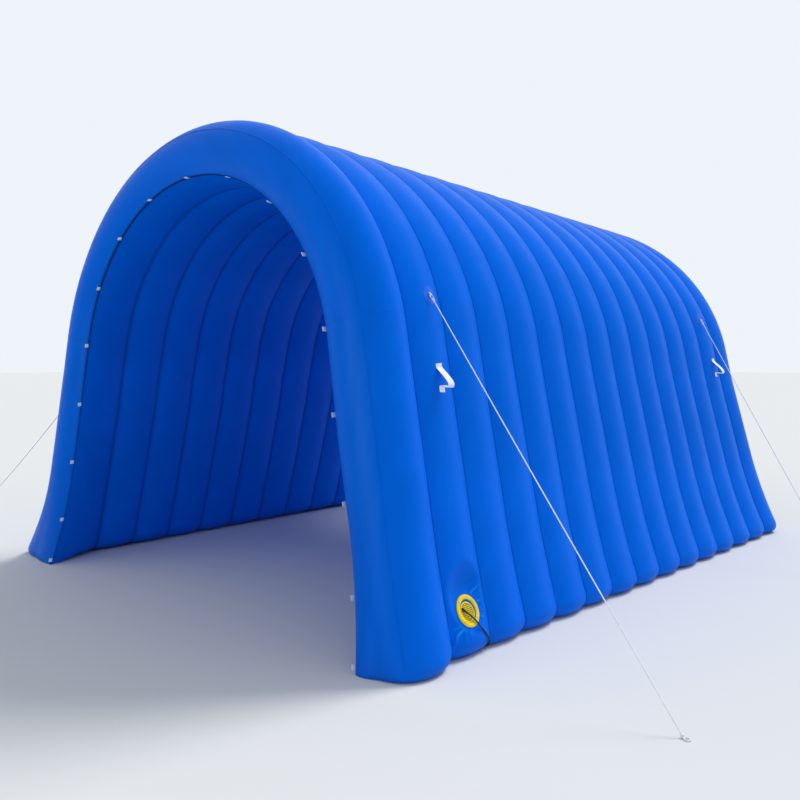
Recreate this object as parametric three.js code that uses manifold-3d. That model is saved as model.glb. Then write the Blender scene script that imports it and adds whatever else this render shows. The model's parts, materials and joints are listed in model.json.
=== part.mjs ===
// Inflatable arch tunnel: a fat mouth ring and fourteen arched ribs, side by side, on two splayed legs.
// Units are millimetres. +X runs across the tunnel, +Y along it from the mouth to the back, +Z up.
// It stands on the ground at Z = 0. The source works in "tunnel lengths" y, counted from the mouth
// seam, and in "depths" d, counted outwards from the mouth seam's arch; the last lines centre it.
import * as THREE from "three";
import { mergeVertices } from "three/addons/utils/BufferGeometryUtils.js";
import Module from "manifold-3d";

const wasm = await Module();
wasm.setup();

const GAP = 0.3; // between pieces that touch
const radians = THREE.MathUtils.degToRad;
const { clamp, lerp } = THREE.MathUtils;

// The arch of the mouth seam: half an ellipse that runs on into straight legs.
const CROWN_HEIGHT = 2640;
const HALF_SPAN = 1275;
const RISE = 1249;
const LEG_SPLAY = radians(10);
const SPRING_HEIGHT = CROWN_HEIGHT - RISE;

// The walls: how far out the sewn valleys lie, and how far the cloth swells between them.
const OUTER_VALLEY = 279;
const OUTER_SWELL = 34;
const INNER_VALLEY = 31;
const INNER_SWELL = 28;
const CROWN_DIP = 80; // the wall is this much deeper, inwards, at the crown
const DIP_START = 1300;
const RIB_COUNT = 14;
const RIB_PITCH = 312;

// The mouth ring's section: a circle that starts at the mouth seam and ends at the first valley.
const RING_DEPTH = 300;
const RING_CENTRE = { y: 143, d: 146 };
const RING_RADIUS = Math.hypot(RING_CENTRE.y, RING_CENTRE.d);
const MOUTH_LEAN = 38; // how far the ring's foot stands in front of its crown

const LENGTH = RING_DEPTH + RIB_COUNT * RIB_PITCH;
const ROOF_RISE = { y: 450, share: 0.008 }; // share of the height gained behind the ring
const ROOF_FALL = 0.062; // share of the height lost at the back

// The feet: how far the inner and the outer side splay, how far the whole outer leg does, how high
// each splay reaches, how far the mouth seam's foot is pulled forwards, and the undersides' rounding.
const SPLAY_HEIGHT = { inner: 1100, outer: 695, leg: SPRING_HEIGHT };
const SPLAYS = [
  { y: -64, left: [0, 250, 30], right: [30, 25, 0] },
  { y: 300, left: [95, 150, 20], right: [60, 25, 0] },
  { y: 900, left: [95, 100, 8], right: [60, 35, 8] },
  { y: LENGTH, left: [95, 80, 65], right: [70, 80, 65] },
];
const MOUTH_PULL = { left: 75, right: 80 };
const RIB_ROUND = 100;
const RING_ROUND = 48;
const SEAM_ROUND = 25; // along the tunnel, where neighbouring feet meet
const FOOT_MIDDLE = { d: 155, reach: 124 }; // a foot rounds in full at this reach from its middle
const FOOT_HEIGHTS = [0, 30, 100, 330, 695, 1050];
const ARC_STEPS = 16;

// Sewn-on and fitted pieces.
const TAB = { count: 17, width: 25, reach: 26, thick: 3, start: 0.3, endShare: 0.78, foot: 34 };
const TAB_DRIFT = 60; // the crown's tabs sit this far to the left of an even spacing
const PATCH = { radius: 54, thick: 2, sides: 20 };
const ANCHORS = {
  mouth: { rib: 1, share: 0.64, height: 1850 },
  back: { rib: 13, share: 0.38, height: 1806 },
};
const GUY_RING = { radius: 14, wire: 2.5 };
const KEEPER = { length: 15, width: 10, hole: 4.7, wall: 2.2, slack: 0.6 };
const ROPE = { diameter: 6, length: 2350, sides: 8, steps: 12 };
const LOOP = { radius: 14, wire: 3, knot: 9 };
const HANDLE = { width: 50, thick: 2.4, top: 1477, share: { mouth: 0.58, back: 0.5 } };
const PORT = { place: 0.5, height: 228, tilt: radians(13), seat: 90, outer: 82, hole: 58, thick: 8 };
const GRILLE = { radius: 51, thick: 3, shift: 4.5 };
const GLAND = { radius: 6, length: 16, across: -44, up: 18 };
const GLAND_WAY = new THREE.Vector2(46, -46).normalize(); // across and up, the way the cable leaves
const CABLE = { diameter: 8, sides: 8 };
const WINDING = { inner: 33, outer: 57, layers: 2 }; // the middle of the coil's innermost and outermost turns
const PLUG = { tail: 36, length: 42, width: 26, height: 22, pin: 18 };

// The bounding box without cords is centred on the origin by this much.
const CENTRE = { x: -67, y: 2266 };

const CLOTH = { color: 0x0a5fe0, roughness: 0.45, metalness: 0 };
const WHITE_WEBBING = { color: 0xf2f4f6, roughness: 0.8, metalness: 0 };
const PATCH_CLOTH = { color: 0x1f78ee, roughness: 0.3, metalness: 0 };
const STEEL = { color: 0xb9bec4, roughness: 0.3, metalness: 1 };
const YELLOW = { color: 0xf2cf16, roughness: 0.5, metalness: 0 };
const BLACK = { color: 0x17181a, roughness: 0.55, metalness: 0 };

const tunnel = new THREE.Group();
tunnel.position.set(-CENTRE.x, -CENTRE.y, 0);

function add(name, geometry, finish) {
  const mesh = new THREE.Mesh(geometry, new THREE.MeshStandardMaterial(finish));
  mesh.name = name;
  tunnel.add(mesh);
  return mesh;
}

function welded(geometry) {
  const bare = geometry.clone();
  bare.deleteAttribute("normal");
  bare.deleteAttribute("uv");
  return mergeVertices(bare, 1e-3);
}

function toSolid(geometry) {
  const mesh = welded(geometry);
  return new wasm.Manifold(
    new wasm.Mesh({
      numProp: 3,
      vertProperties: new Float32Array(mesh.attributes.position.array),
      triVerts: new Uint32Array(mesh.index.array),
    }),
  );
}

function toGeometry(solid) {
  const mesh = solid.getMesh();
  const geometry = new THREE.BufferGeometry();
  geometry.setAttribute("position", new THREE.BufferAttribute(mesh.vertProperties, 3));
  geometry.setIndex(new THREE.BufferAttribute(mesh.triVerts, 1));
  return geometry;
}

// ---- The arch -------------------------------------------------------------------------------

const LEG_ANGLE = Math.atan((Math.tan(LEG_SPLAY) * RISE) / HALF_SPAN);

// A point on the arch at an angle above the springing, d outwards, and the way it faces.
function arcPoint(angle, d) {
  const nx = RISE * Math.cos(angle);
  const nz = HALF_SPAN * Math.sin(angle);
  const size = Math.hypot(nx, nz);
  return {
    x: HALF_SPAN * Math.cos(angle) + (d * nx) / size,
    z: SPRING_HEIGHT + RISE * Math.sin(angle) + (d * nz) / size,
  };
}

function legPoint(height, d) {
  const top = arcPoint(LEG_ANGLE, d);
  return { x: top.x + (top.z - height) * Math.tan(LEG_SPLAY), z: height };
}

function splayOut(side, y, d, z) {
  const next = Math.max(1, SPLAYS.findIndex((row) => row.y >= Math.min(y, LENGTH)));
  const a = SPLAYS[next - 1];
  const b = SPLAYS[next];
  const along = clamp((y - a.y) / (b.y - a.y), 0, 1);
  const [inner, outer, leg] = a[side].map((reach, i) => lerp(reach, b[side][i], along));
  const low = (height) => Math.max(0, 1 - z / height);
  const outside = outer * low(SPLAY_HEIGHT.outer) ** 2 + leg * low(SPLAY_HEIGHT.leg);
  return lerp(inner * low(SPLAY_HEIGHT.inner), outside, clamp(d / OUTER_VALLEY, 0, 1));
}

// How much lower or higher than the mouth the cloth lies, as a share of the height.
function roofShare(y) {
  if (y < ROOF_RISE.y) return (ROOF_RISE.share * Math.max(0, y)) / ROOF_RISE.y;
  return lerp(ROOF_RISE.share, -ROOF_FALL, (y - ROOF_RISE.y) / (LENGTH - ROOF_RISE.y));
}

// A place is { side, angle } on the arc or { side, height } on a leg; side is 1 on the right.
function onArch(place, y, d) {
  const inward = clamp((OUTER_VALLEY - d) / (OUTER_VALLEY - INNER_VALLEY), 0, 1);
  const behind = clamp(y / RING_DEPTH, 0, 1);
  const locate = (depth) =>
    place.angle === undefined ? legPoint(place.height, depth) : arcPoint(place.angle, depth);
  const rough = locate(d);
  const high = clamp((rough.z - DIP_START) / (CROWN_HEIGHT - DIP_START), 0, 1);
  const { x, z } = locate(d - CROWN_DIP * inward * behind * high);
  const low = Math.max(0, 1 - z / SPLAY_HEIGHT.outer);
  const side = place.side > 0 ? "right" : "left";
  const splay = splayOut(side, y, d, z);
  const pull = MOUTH_PULL[side] * low * low * clamp(1 - d / RING_CENTRE.d, 0, 1);
  const lean = (MOUTH_LEAN * clamp(1 - z / CROWN_HEIGHT, 0, 1) + pull) * (1 - behind);
  return new THREE.Vector3(place.side * (x + splay), y - lean, z * (1 + roofShare(y)));
}

// From the left foot up, over the crown and down to the right foot.
function archPlaces() {
  const places = FOOT_HEIGHTS.map((height) => ({ side: -1, height }));
  for (let step = 0; step <= ARC_STEPS; step += 1) {
    const turn = lerp(LEG_ANGLE, Math.PI - LEG_ANGLE, step / ARC_STEPS);
    const left = turn < Math.PI / 2;
    places.push({ side: left ? -1 : 1, angle: left ? turn : Math.PI - turn });
  }
  return places.concat(FOOT_HEIGHTS.map((height) => ({ side: 1, height })).reverse());
}

const PLACES = archPlaces();

// A point on the faceted cloth at a true height on one side.
function onFacets(side, height, y, d) {
  const stops = PLACES.filter((place) => place.side === side).map((place) => onArch(place, y, d));
  stops.sort((a, b) => a.z - b.z);
  const next = stops.findIndex((stop) => stop.z > height);
  const below = stops[next - 1];
  return below.clone().lerp(stops[next], (height - below.z) / (stops[next].z - below.z));
}

// How far a quarter circle from the ground up lies inside its outline at a height.
function inset(radius, height) {
  return height < radius ? radius - Math.sqrt(radius ** 2 - (radius - height) ** 2) : 0;
}

// One chamber: its section, a list of [y, d], swept over the arch. Near the ground each point of the
// section moves in towards its middle, along the tunnel and across it, by its own two roundings.
function chamber(section, roundOf) {
  const shape = new THREE.Shape(section.map(([y, d]) => new THREE.Vector2(y, d)));
  const last = PLACES.length - 1;
  const geometry = new THREE.ExtrudeGeometry(shape, { depth: last, steps: last, bevelEnabled: false });
  const box = new THREE.Box2().setFromPoints(shape.getPoints());
  const middle = (box.min.x + box.max.x) / 2;
  const half = (box.max.x - box.min.x) / 2;
  const points = geometry.attributes.position;
  for (let i = 0; i < points.count; i += 1) {
    const place = PLACES[Math.round(points.getZ(i))];
    const point = new THREE.Vector2(points.getX(i), points.getY(i));
    if (place.height !== undefined) {
      const round = roundOf(point);
      const across = clamp((point.y - FOOT_MIDDLE.d) / FOOT_MIDDLE.reach, -1, 1);
      point.x -= ((point.x - middle) / half) * inset(round.along, place.height);
      point.y -= across * inset(round.across, place.height);
    }
    const spot = onArch(place, point.x, point.y);
    points.setXYZ(i, spot.x, spot.y, spot.z);
  }
  return welded(geometry);
}

const ribRound = () => ({ along: SEAM_ROUND, across: RIB_ROUND });

// The ring's foot is square at the mouth seam, and its back is as round as the first rib.
function ringRound({ x, y }) {
  const share = clamp(Math.hypot(x, y) / RING_CENTRE.d - 0.1, 0, 1);
  const across = lerp(RING_ROUND, RIB_ROUND, clamp(x / RING_DEPTH, 0, 1));
  return { along: SEAM_ROUND * share, across: across * share };
}

const CREST = 0.91; // the outline is flat at this share of the swell, where things are sewn on
const RIB_OUTLINE = [
  { place: 0, swell: 0 },
  { place: 0.15, swell: 0.51 },
  { place: 0.35, swell: CREST },
  { place: 0.65, swell: CREST },
  { place: 0.85, swell: 0.51 },
  { place: 1, swell: 0 },
];
const RIB_LINING = [
  { place: 1, swell: 0 },
  { place: 0.8, swell: 0.64 },
  { place: 0.5, swell: 1 },
  { place: 0.2, swell: 0.64 },
  { place: 0, swell: 0 },
];

const ribStart = (number) => RING_DEPTH + (number - 1) * RIB_PITCH;

function ribY(number, place) {
  return lerp(ribStart(number) + GAP / 2, ribStart(number) + RIB_PITCH - GAP / 2, place);
}

function outerSkin(number, lift) {
  return RIB_OUTLINE.map(({ place, swell }) => [
    ribY(number, place),
    OUTER_VALLEY + swell * OUTER_SWELL + lift,
  ]);
}

function ribSection(number) {
  const lining = RIB_LINING.map(({ place, swell }) => [
    ribY(number, place),
    INNER_VALLEY - swell * INNER_SWELL,
  ]);
  return outerSkin(number, 0).concat(lining);
}

// The last rib closes the tunnel: its back is a rounded end instead of a flat baffle.
const BACK_OUTLINE = [
  { past: 0, d: 279 },
  { past: 55, d: 299 },
  { past: 130, d: 311 },
  { past: 205, d: 303 },
  { past: 265, d: 272 },
  { past: 308, d: 218 },
  { past: 325, d: 150 },
  { past: 310, d: 85 },
  { past: 265, d: 36 },
  { past: 205, d: 9 },
  { past: 130, d: 2 },
  { past: 60, d: 12 },
  { past: 0, d: 31 },
];

function backSection() {
  const start = ribStart(RIB_COUNT) + GAP / 2;
  return BACK_OUTLINE.map(({ past, d }) => [start + past, d]);
}

function ringSection() {
  const from = Math.atan2(-RING_CENTRE.d, -RING_CENTRE.y);
  const to = Math.acos((RING_DEPTH - GAP / 2 - RING_CENTRE.y) / RING_RADIUS) - 2 * Math.PI;
  const steps = 12;
  const section = [];
  for (let step = 0; step <= steps; step += 1) {
    const turn = lerp(from, to, step / steps);
    section.push([
      RING_CENTRE.y + RING_RADIUS * Math.cos(turn),
      RING_CENTRE.d + RING_RADIUS * Math.sin(turn),
    ]);
  }
  section.push([RING_DEPTH - GAP / 2, INNER_VALLEY]);
  section.push([RING_DEPTH / 2, INNER_VALLEY / 2 - INNER_SWELL * 0.7]);
  return section;
}

// ---- The blower port on the first rib's right foot ------------------------------------------

// A right-handed frame on the right-hand skin: out of the cloth, along the tunnel, and up the leg.
// It leans back further than the leg by its tilt.
function legFrame(rib, { place, height, tilt }) {
  const y = ribY(rib, place);
  const skin = OUTER_VALLEY + CREST * OUTER_SWELL;
  const here = onArch({ side: 1, height }, y, skin);
  const above = onArch({ side: 1, height: height + 40 }, y, skin);
  const along = new THREE.Vector3(0, 1, 0);
  const up = above.sub(here).normalize().applyAxisAngle(along, -tilt);
  const out = new THREE.Vector3().crossVectors(along, up).normalize();
  return { here, up, along, out };
}

const portFrame = legFrame(1, PORT);
const portTurn = new THREE.Matrix4().makeBasis(portFrame.along, portFrame.up, portFrame.out);
const SEAT_CUT = 24; // how far the swell of the rib is held flat behind the port

// Sets a piece that is made around +Z on the port's seat, lifted along the port's axis.
function onPort(geometry, lift, across = 0, up = 0) {
  return geometry.clone().applyMatrix4(portTurn.clone().setPosition(onPortPoint(lift, across, up)));
}

function disc(radius, thick, sides) {
  return new THREE.CylinderGeometry(radius, radius, thick, sides)
    .rotateX(Math.PI / 2)
    .translate(0, 0, thick / 2);
}

function firstRib() {
  const cutter = onPort(disc(PORT.seat, 80, 36), 0);
  return toGeometry(toSolid(chamber(ribSection(1), ribRound)).subtract(toSolid(cutter)));
}

function portRing() {
  const { outer, hole, thick } = PORT;
  const edge = 2;
  const profile = [
    [hole, 0],
    [outer, 0],
    [outer, thick - edge],
    [outer - edge, thick],
    [hole + edge, thick],
    [hole, thick - edge],
    [hole, 0],
  ].map(([r, z]) => new THREE.Vector2(r, z));
  return new THREE.LatheGeometry(profile, 32).rotateX(Math.PI / 2);
}

// ---- Straps, patches and rings --------------------------------------------------------------

// A short strap that stands out in front of the mouth seam, on its inner side.
function tab({ root, along }) {
  const forward = new THREE.Vector3(0, -1, 0).addScaledVector(along, along.y).normalize();
  const inward = new THREE.Vector3().crossVectors(along, forward);
  const profile = new THREE.Shape();
  const tip = TAB.reach - TAB.thick / 2;
  profile.moveTo(TAB.start, TAB.start);
  profile.lineTo(tip, TAB.start);
  profile.absarc(tip, TAB.start + TAB.thick / 2, TAB.thick / 2, -Math.PI / 2, Math.PI / 2);
  profile.lineTo(TAB.start, TAB.start + TAB.thick);
  const geometry = new THREE.ExtrudeGeometry(profile, {
    depth: TAB.width,
    bevelEnabled: false,
    curveSegments: 4,
  }).translate(0, 0, -TAB.width / 2);
  return geometry.applyMatrix4(new THREE.Matrix4().makeBasis(forward, inward, along).setPosition(root));
}

// Walks the mouth seam from the left foot to the right one, facet by facet.
function seamWalk() {
  const corners = PLACES.map((place) => onArch(place, 0, 0));
  const lengths = [0];
  for (let i = 1; i < corners.length; i += 1) {
    lengths.push(lengths[i - 1] + corners[i].distanceTo(corners[i - 1]));
  }
  const total = lengths[lengths.length - 1];
  const pointAt = (length) => {
    const i = Math.max(1, lengths.findIndex((reached) => reached >= length));
    const share = (length - lengths[i - 1]) / (lengths[i] - lengths[i - 1]);
    return corners[i - 1].clone().lerp(corners[i], share);
  };
  const spotAt = (length) => {
    const before = pointAt(length - TAB.width / 2);
    const after = pointAt(length + TAB.width / 2);
    const root = before.clone().lerp(after, 0.5);
    return { root, along: after.sub(before).normalize() };
  };
  return { total, spotAt };
}

function addTabs() {
  const { total, spotAt } = seamWalk();
  const pitch = total / (TAB.count - 3 + 2 * TAB.endShare);
  for (let i = 0; i < TAB.count; i += 1) {
    const even = clamp((i - 1 + TAB.endShare) * pitch, TAB.foot, total - TAB.foot);
    const length = even - TAB_DRIFT * Math.sin((Math.PI * (even - TAB.foot)) / (total - 2 * TAB.foot));
    add(`mouth_tab_${String(i + 1).padStart(2, "0")}`, tab(spotAt(length)), WHITE_WEBBING);
  }
}

// A thin layer that follows a rib's skin, cut to a round patch around one spot.
function patch(guy) {
  const { end, side } = guy;
  const { rib } = ANCHORS[end];
  const low = outerSkin(rib, GAP);
  const high = outerSkin(rib, GAP + PATCH.thick).reverse();
  const layer = toSolid(chamberLayer(low.concat(high)));
  const { here, out } = patchSpot(end, side);
  const punch = new THREE.CylinderGeometry(PATCH.radius, PATCH.radius, 120, PATCH.sides);
  const turn = new THREE.Quaternion().setFromUnitVectors(new THREE.Vector3(0, 1, 0), out);
  punch.applyQuaternion(turn).translate(here.x, here.y, here.z);
  const { strap, hole } = keeper(guy);
  return toGeometry(layer.intersect(toSolid(punch)).add(strap).subtract(hole));
}

// The short strap on a patch that the guy ring's wire runs through.
function keeper(guy) {
  const { eye, along, across } = guyLine(guy);
  const { out } = patchSpot(guy.end, guy.side);
  const flat = out.clone().addScaledVector(across, -out.dot(across)).normalize();
  const length = new THREE.Vector3().crossVectors(across, flat);
  const turn = new THREE.Matrix4().makeBasis(length, across, flat);
  const below = PATCH.thick + KEEPER.hole - 1;
  const block = new THREE.BoxGeometry(KEEPER.length, KEEPER.width, below + KEEPER.hole + KEEPER.wall);
  block.translate(0, 0, (KEEPER.hole + KEEPER.wall - below) / 2);
  const bore = new THREE.CylinderGeometry(KEEPER.hole, KEEPER.hole, 2 * KEEPER.width, 20);
  const hub = eye.clone().addScaledVector(along, -KEEPER.slack);
  return {
    strap: toSolid(block.applyMatrix4(turn.setPosition(eye))),
    hole: toSolid(bore.applyMatrix4(turn.setPosition(hub))),
  };
}

// As a chamber, but over the part of the arch between the feet, with no rounding.
function chamberLayer(section) {
  const shape = new THREE.Shape(section.map(([y, d]) => new THREE.Vector2(y, d)));
  const places = PLACES.slice(1, -1);
  const last = places.length - 1;
  const geometry = new THREE.ExtrudeGeometry(shape, { depth: last, steps: last, bevelEnabled: false });
  const points = geometry.attributes.position;
  for (let i = 0; i < points.count; i += 1) {
    const spot = onArch(places[Math.round(points.getZ(i))], points.getX(i), points.getY(i));
    points.setXYZ(i, spot.x, spot.y, spot.z);
  }
  return geometry;
}

function patchSpot(end, side) {
  const { rib, share, height } = ANCHORS[end];
  const y = ribY(rib, share);
  const spot = (z) => onFacets(side, z, y, OUTER_VALLEY + CREST * OUTER_SWELL);
  const up = spot(height + 5).sub(spot(height - 5));
  const out = new THREE.Vector3(0, 1, 0).cross(up).multiplyScalar(side).normalize();
  return { here: spot(height), out };
}

// Where each guy rope meets the ground, from its patch: out from the tunnel and forwards.
const GUYS = [
  { name: "mouth_right", end: "mouth", side: 1, forward: radians(8), sag: 3 },
  { name: "mouth_left", end: "mouth", side: -1, forward: radians(38), sag: 90 },
  { name: "back_right", end: "back", side: 1, forward: radians(33), sag: 3 },
  { name: "back_left", end: "back", side: -1, forward: radians(-20), sag: 3 },
];

// The straight line of a guy rope, from the eye of its patch ring to its knot on the ground.
function guyLine({ end, side, forward }) {
  const { here, out } = patchSpot(end, side);
  const eye = here.clone().addScaledVector(out, GAP + PATCH.thick + KEEPER.hole);
  const drop = eye.z - LOOP.knot;
  const reach = Math.sqrt((ROPE.length + 2 * GUY_RING.radius) ** 2 - drop ** 2);
  const ground = new THREE.Vector3(
    eye.x + side * reach * Math.cos(forward),
    eye.y - reach * Math.sin(forward),
    LOOP.knot,
  );
  const along = ground.clone().sub(eye).normalize();
  const across = new THREE.Vector3(0, 1, 0).addScaledVector(along, -along.y).normalize();
  return { eye, along, across, ground };
}

function guyRing(guy) {
  const { eye, along, across } = guyLine(guy);
  const flat = new THREE.Vector3().crossVectors(along, across);
  const centre = eye.clone().addScaledVector(along, GUY_RING.radius);
  const ring = new THREE.TorusGeometry(GUY_RING.radius, GUY_RING.wire, 8, 20);
  const turn = new THREE.Matrix4().makeBasis(along, across, flat).setPosition(centre);
  return welded(ring.applyMatrix4(turn));
}

function roundSection(radius, sides) {
  const shape = new THREE.Shape();
  for (let i = 0; i < sides; i += 1) {
    const turn = (2 * Math.PI * i) / sides;
    const x = radius * Math.cos(turn);
    const y = radius * Math.sin(turn);
    if (i === 0) shape.moveTo(x, y);
    else shape.lineTo(x, y);
  }
  shape.closePath();
  return shape;
}

function tube(points, diameter, sides, steps) {
  const path = new THREE.CatmullRomCurve3(points, false, "centripetal");
  return new THREE.ExtrudeGeometry(roundSection(diameter / 2, sides), {
    steps,
    extrudePath: path,
    bevelEnabled: false,
  });
}

function guyRope(guy) {
  const { eye, along, ground } = guyLine(guy);
  const start = eye.clone().addScaledVector(along, 2 * GUY_RING.radius + GUY_RING.wire + GAP);
  const end = ground.clone().addScaledVector(along, -LOOP.knot - GAP);
  const points = [];
  const spans = 4;
  for (let i = 0; i <= spans; i += 1) {
    const share = i / spans;
    const point = start.clone().lerp(end, share);
    point.z -= 4 * guy.sag * share * (1 - share);
    points.push(point);
  }
  return tube(points, ROPE.diameter, ROPE.sides, ROPE.steps);
}

// The knotted end of a guy rope: a knot and a small eye that lies on the ground.
function guyLoop(guy) {
  const { along, ground } = guyLine(guy);
  const level = new THREE.Vector3(along.x, along.y, 0).normalize();
  const knot = new THREE.SphereGeometry(LOOP.knot, 10, 8);
  knot.translate(ground.x, ground.y, LOOP.knot);
  const eye = new THREE.TorusGeometry(LOOP.radius, LOOP.wire, 8, 16);
  const centre = ground.clone().addScaledVector(level, LOOP.knot + LOOP.radius - 2);
  eye.translate(centre.x, centre.y, LOOP.wire);
  return toGeometry(toSolid(knot).add(toSolid(eye)));
}

// A slack webbing handle: sewn flat at both ends, its middle hanging away from the wall.
// Each row is a point of the strap's back: how far out of the cloth, and how far down.
const HANDLE_LINE = [
  { out: 0, down: 0 },
  { out: 0, down: 22 },
  { out: 12, down: 40 },
  { out: 34, down: 68 },
  { out: 56, down: 97 },
  { out: 66, down: 116 },
  { out: 60, down: 130 },
  { out: 42, down: 131 },
  { out: 20, down: 125 },
  { out: 3, down: 124 },
  { out: 0, down: 132 },
  { out: 0, down: 156 },
];

function handle(end, side) {
  const y = ribY(ANCHORS[end].rib, HANDLE.share[end]);
  const skin = OUTER_VALLEY + CREST * OUTER_SWELL;
  const top = onFacets(side, HANDLE.top, y, skin);
  const foot = onFacets(side, HANDLE.top - 156, y, skin);
  const down = foot.sub(top).normalize();
  const along = new THREE.Vector3(0, 1, 0);
  const out = new THREE.Vector3().crossVectors(down, along).multiplyScalar(side).normalize();
  const line = HANDLE_LINE.map((row) => new THREE.Vector2(row.out, row.down));
  const facing = line.map((point, i) => {
    const before = line[Math.max(0, i - 1)];
    const after = line[Math.min(line.length - 1, i + 1)];
    const way = after.clone().sub(before).normalize();
    return new THREE.Vector2(way.y, -way.x);
  });
  const front = line.map((point, i) => point.clone().addScaledVector(facing[i], HANDLE.thick));
  const shape = new THREE.Shape(line.concat(front.reverse()));
  const strap = new THREE.ExtrudeGeometry(shape, { depth: HANDLE.width, bevelEnabled: false });
  strap.translate(GAP, 0, -HANDLE.width / 2);
  if (side < 0) strap.scale(1, 1, -1);
  const turn = new THREE.Matrix4().makeBasis(out, down, along.multiplyScalar(side));
  const placed = strap.applyMatrix4(turn.setPosition(top));
  return side < 0 ? flipped(placed) : placed;
}

function flipped(geometry) {
  const mesh = welded(geometry);
  const index = mesh.index.array;
  for (let i = 0; i < index.length; i += 3) {
    [index[i + 1], index[i + 2]] = [index[i + 2], index[i + 1]];
  }
  return mesh;
}

// ---- The blower's power cable ---------------------------------------------------------------

const COIL = { x: 1290, y: 830 };
const CABLE_Z = CABLE.diameter / 2 + 0.6;

// Out of the gland, flat over the grille and the flange, down the first valley and in under the wall.
function cableRoute() {
  const start = new THREE.Vector2(GLAND.across, GLAND.up).addScaledVector(GLAND_WAY, GLAND.length + GAP);
  const lift = 2 * GAP + GRILLE.thick + GLAND.radius;
  const overGrille = (reach, rise) => {
    const spot = start.clone().addScaledVector(GLAND_WAY, reach);
    return onPortPoint(lift + rise, spot.x, spot.y);
  };
  const over = PORT.thick + CABLE.diameter / 2 + 2;
  const valley = ribStart(2);
  const coilSide = WINDING.outer + CABLE.diameter;
  return [
    overGrille(0, 0),
    overGrille(8, 0.1),
    overGrille(20, 0.6),
    overGrille(34, 1.6),
    onPortPoint(over - 1.4, 5, -33),
    onPortPoint(over - 0.2, 19, -52),
    onPortPoint(over, 30, -70),
    onPortPoint(over - 1, 40, -86),
    new THREE.Vector3(1857, 512, 131),
    new THREE.Vector3(1858, 541, 103),
    new THREE.Vector3(1855, 573, 69),
    new THREE.Vector3(1841, valley - 14, 35),
    new THREE.Vector3(1816, valley - 2, 11),
    new THREE.Vector3(1800, valley, 6),
    new THREE.Vector3(1780, valley, CABLE_Z),
    new THREE.Vector3(1740, valley, CABLE_Z),
    new THREE.Vector3(1690, valley, CABLE_Z),
    new THREE.Vector3(1590, valley, CABLE_Z),
    new THREE.Vector3(1500, valley + 10, CABLE_Z),
    new THREE.Vector3(1430, valley + 42, CABLE_Z),
    new THREE.Vector3(1384, valley + 96, CABLE_Z),
    new THREE.Vector3(1359, valley + 160, CABLE_Z),
    new THREE.Vector3(COIL.x + coilSide + 0.5, COIL.y - 28, CABLE_Z),
    new THREE.Vector3(COIL.x + coilSide, COIL.y, CABLE_Z),
  ];
}

// The gland is a short barrel on a foot, which lies flat on the grille.
function gland() {
  const { radius, length } = GLAND;
  const barrel = new THREE.CylinderGeometry(radius, radius, length, 16)
    .rotateZ(Math.PI / 2)
    .translate(length / 2, 0, radius);
  const foot = new THREE.BoxGeometry(length, 2 * radius, radius).translate(length / 2, 0, radius / 2);
  return toGeometry(toSolid(barrel).add(toSolid(foot))).rotateZ(GLAND_WAY.angle());
}

function onPortPoint(lift, across, up) {
  return new THREE.Vector3(across, up, lift - SEAT_CUT).applyMatrix4(portTurn).add(portFrame.here);
}

function coil() {
  const inside = WINDING.inner - CABLE.diameter / 2;
  const outside = WINDING.outer + CABLE.diameter / 2 - GAP;
  const top = WINDING.layers * CABLE.diameter;
  const edge = 3;
  const profile = [
    [inside, edge],
    [inside + edge, 0],
    [outside - edge, 0],
    [outside, edge],
    [outside, top - edge],
    [outside - edge, top],
    [inside + edge, top],
    [inside, top - edge],
    [inside, edge],
  ].map(([r, z]) => new THREE.Vector2(r, z));
  return new THREE.LatheGeometry(profile, 24).rotateX(Math.PI / 2).translate(COIL.x, COIL.y, 0);
}

// The plug lies beside the coil on a short end of the cable, with two flat blades and a round pin.
function plug() {
  const { tail, length, width, height, pin } = PLUG;
  const outline = new THREE.Shape();
  outline.moveTo(tail - 1, -width / 4);
  outline.lineTo(tail + length * 0.4, -width / 2);
  outline.lineTo(tail + length, -width / 2);
  outline.lineTo(tail + length, width / 2);
  outline.lineTo(tail + length * 0.4, width / 2);
  outline.lineTo(tail - 1, width / 4);
  const body = new THREE.ExtrudeGeometry(outline, { depth: height, bevelEnabled: false });
  const cord = new THREE.CylinderGeometry(CABLE.diameter / 2, CABLE.diameter / 2, tail, 10)
    .rotateZ(Math.PI / 2)
    .translate(tail / 2, 0, CABLE_Z);
  const blade = new THREE.BoxGeometry(pin + 2, 1.6, 6.4);
  const left = blade.clone().translate(tail + length + pin / 2 - 1, -6.4, height * 0.62);
  const right = blade.clone().translate(tail + length + pin / 2 - 1, 6.4, height * 0.62);
  const earth = new THREE.CylinderGeometry(2.4, 2.4, pin + 4, 10)
    .rotateZ(Math.PI / 2)
    .translate(tail + length + pin / 2, 0, height * 0.24);
  const whole = [cord, left, right, earth].reduce((sum, part) => sum.add(toSolid(part)), toSolid(body));
  const side = WINDING.outer + CABLE.diameter;
  return toGeometry(whole).rotateZ(-Math.PI / 2).translate(COIL.x - side, COIL.y, 0);
}

// ---- Putting it together --------------------------------------------------------------------

add("mouth_ring", chamber(ringSection(), ringRound), CLOTH);
add("rib_01", firstRib(), CLOTH);
for (let number = 2; number < RIB_COUNT; number += 1) {
  add(`rib_${String(number).padStart(2, "0")}`, chamber(ribSection(number), ribRound), CLOTH);
}
add(`rib_${RIB_COUNT}`, chamber(backSection(), ribRound), CLOTH);
addTabs();

for (const guy of GUYS) {
  add(`guy_patch_${guy.name}`, patch(guy), PATCH_CLOTH);
  add(`guy_ring_${guy.name}`, guyRing(guy), STEEL);
  add(`guy_rope_${guy.name}`, guyRope(guy), WHITE_WEBBING);
  add(`guy_loop_${guy.name}`, guyLoop(guy), WHITE_WEBBING);
}

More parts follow.
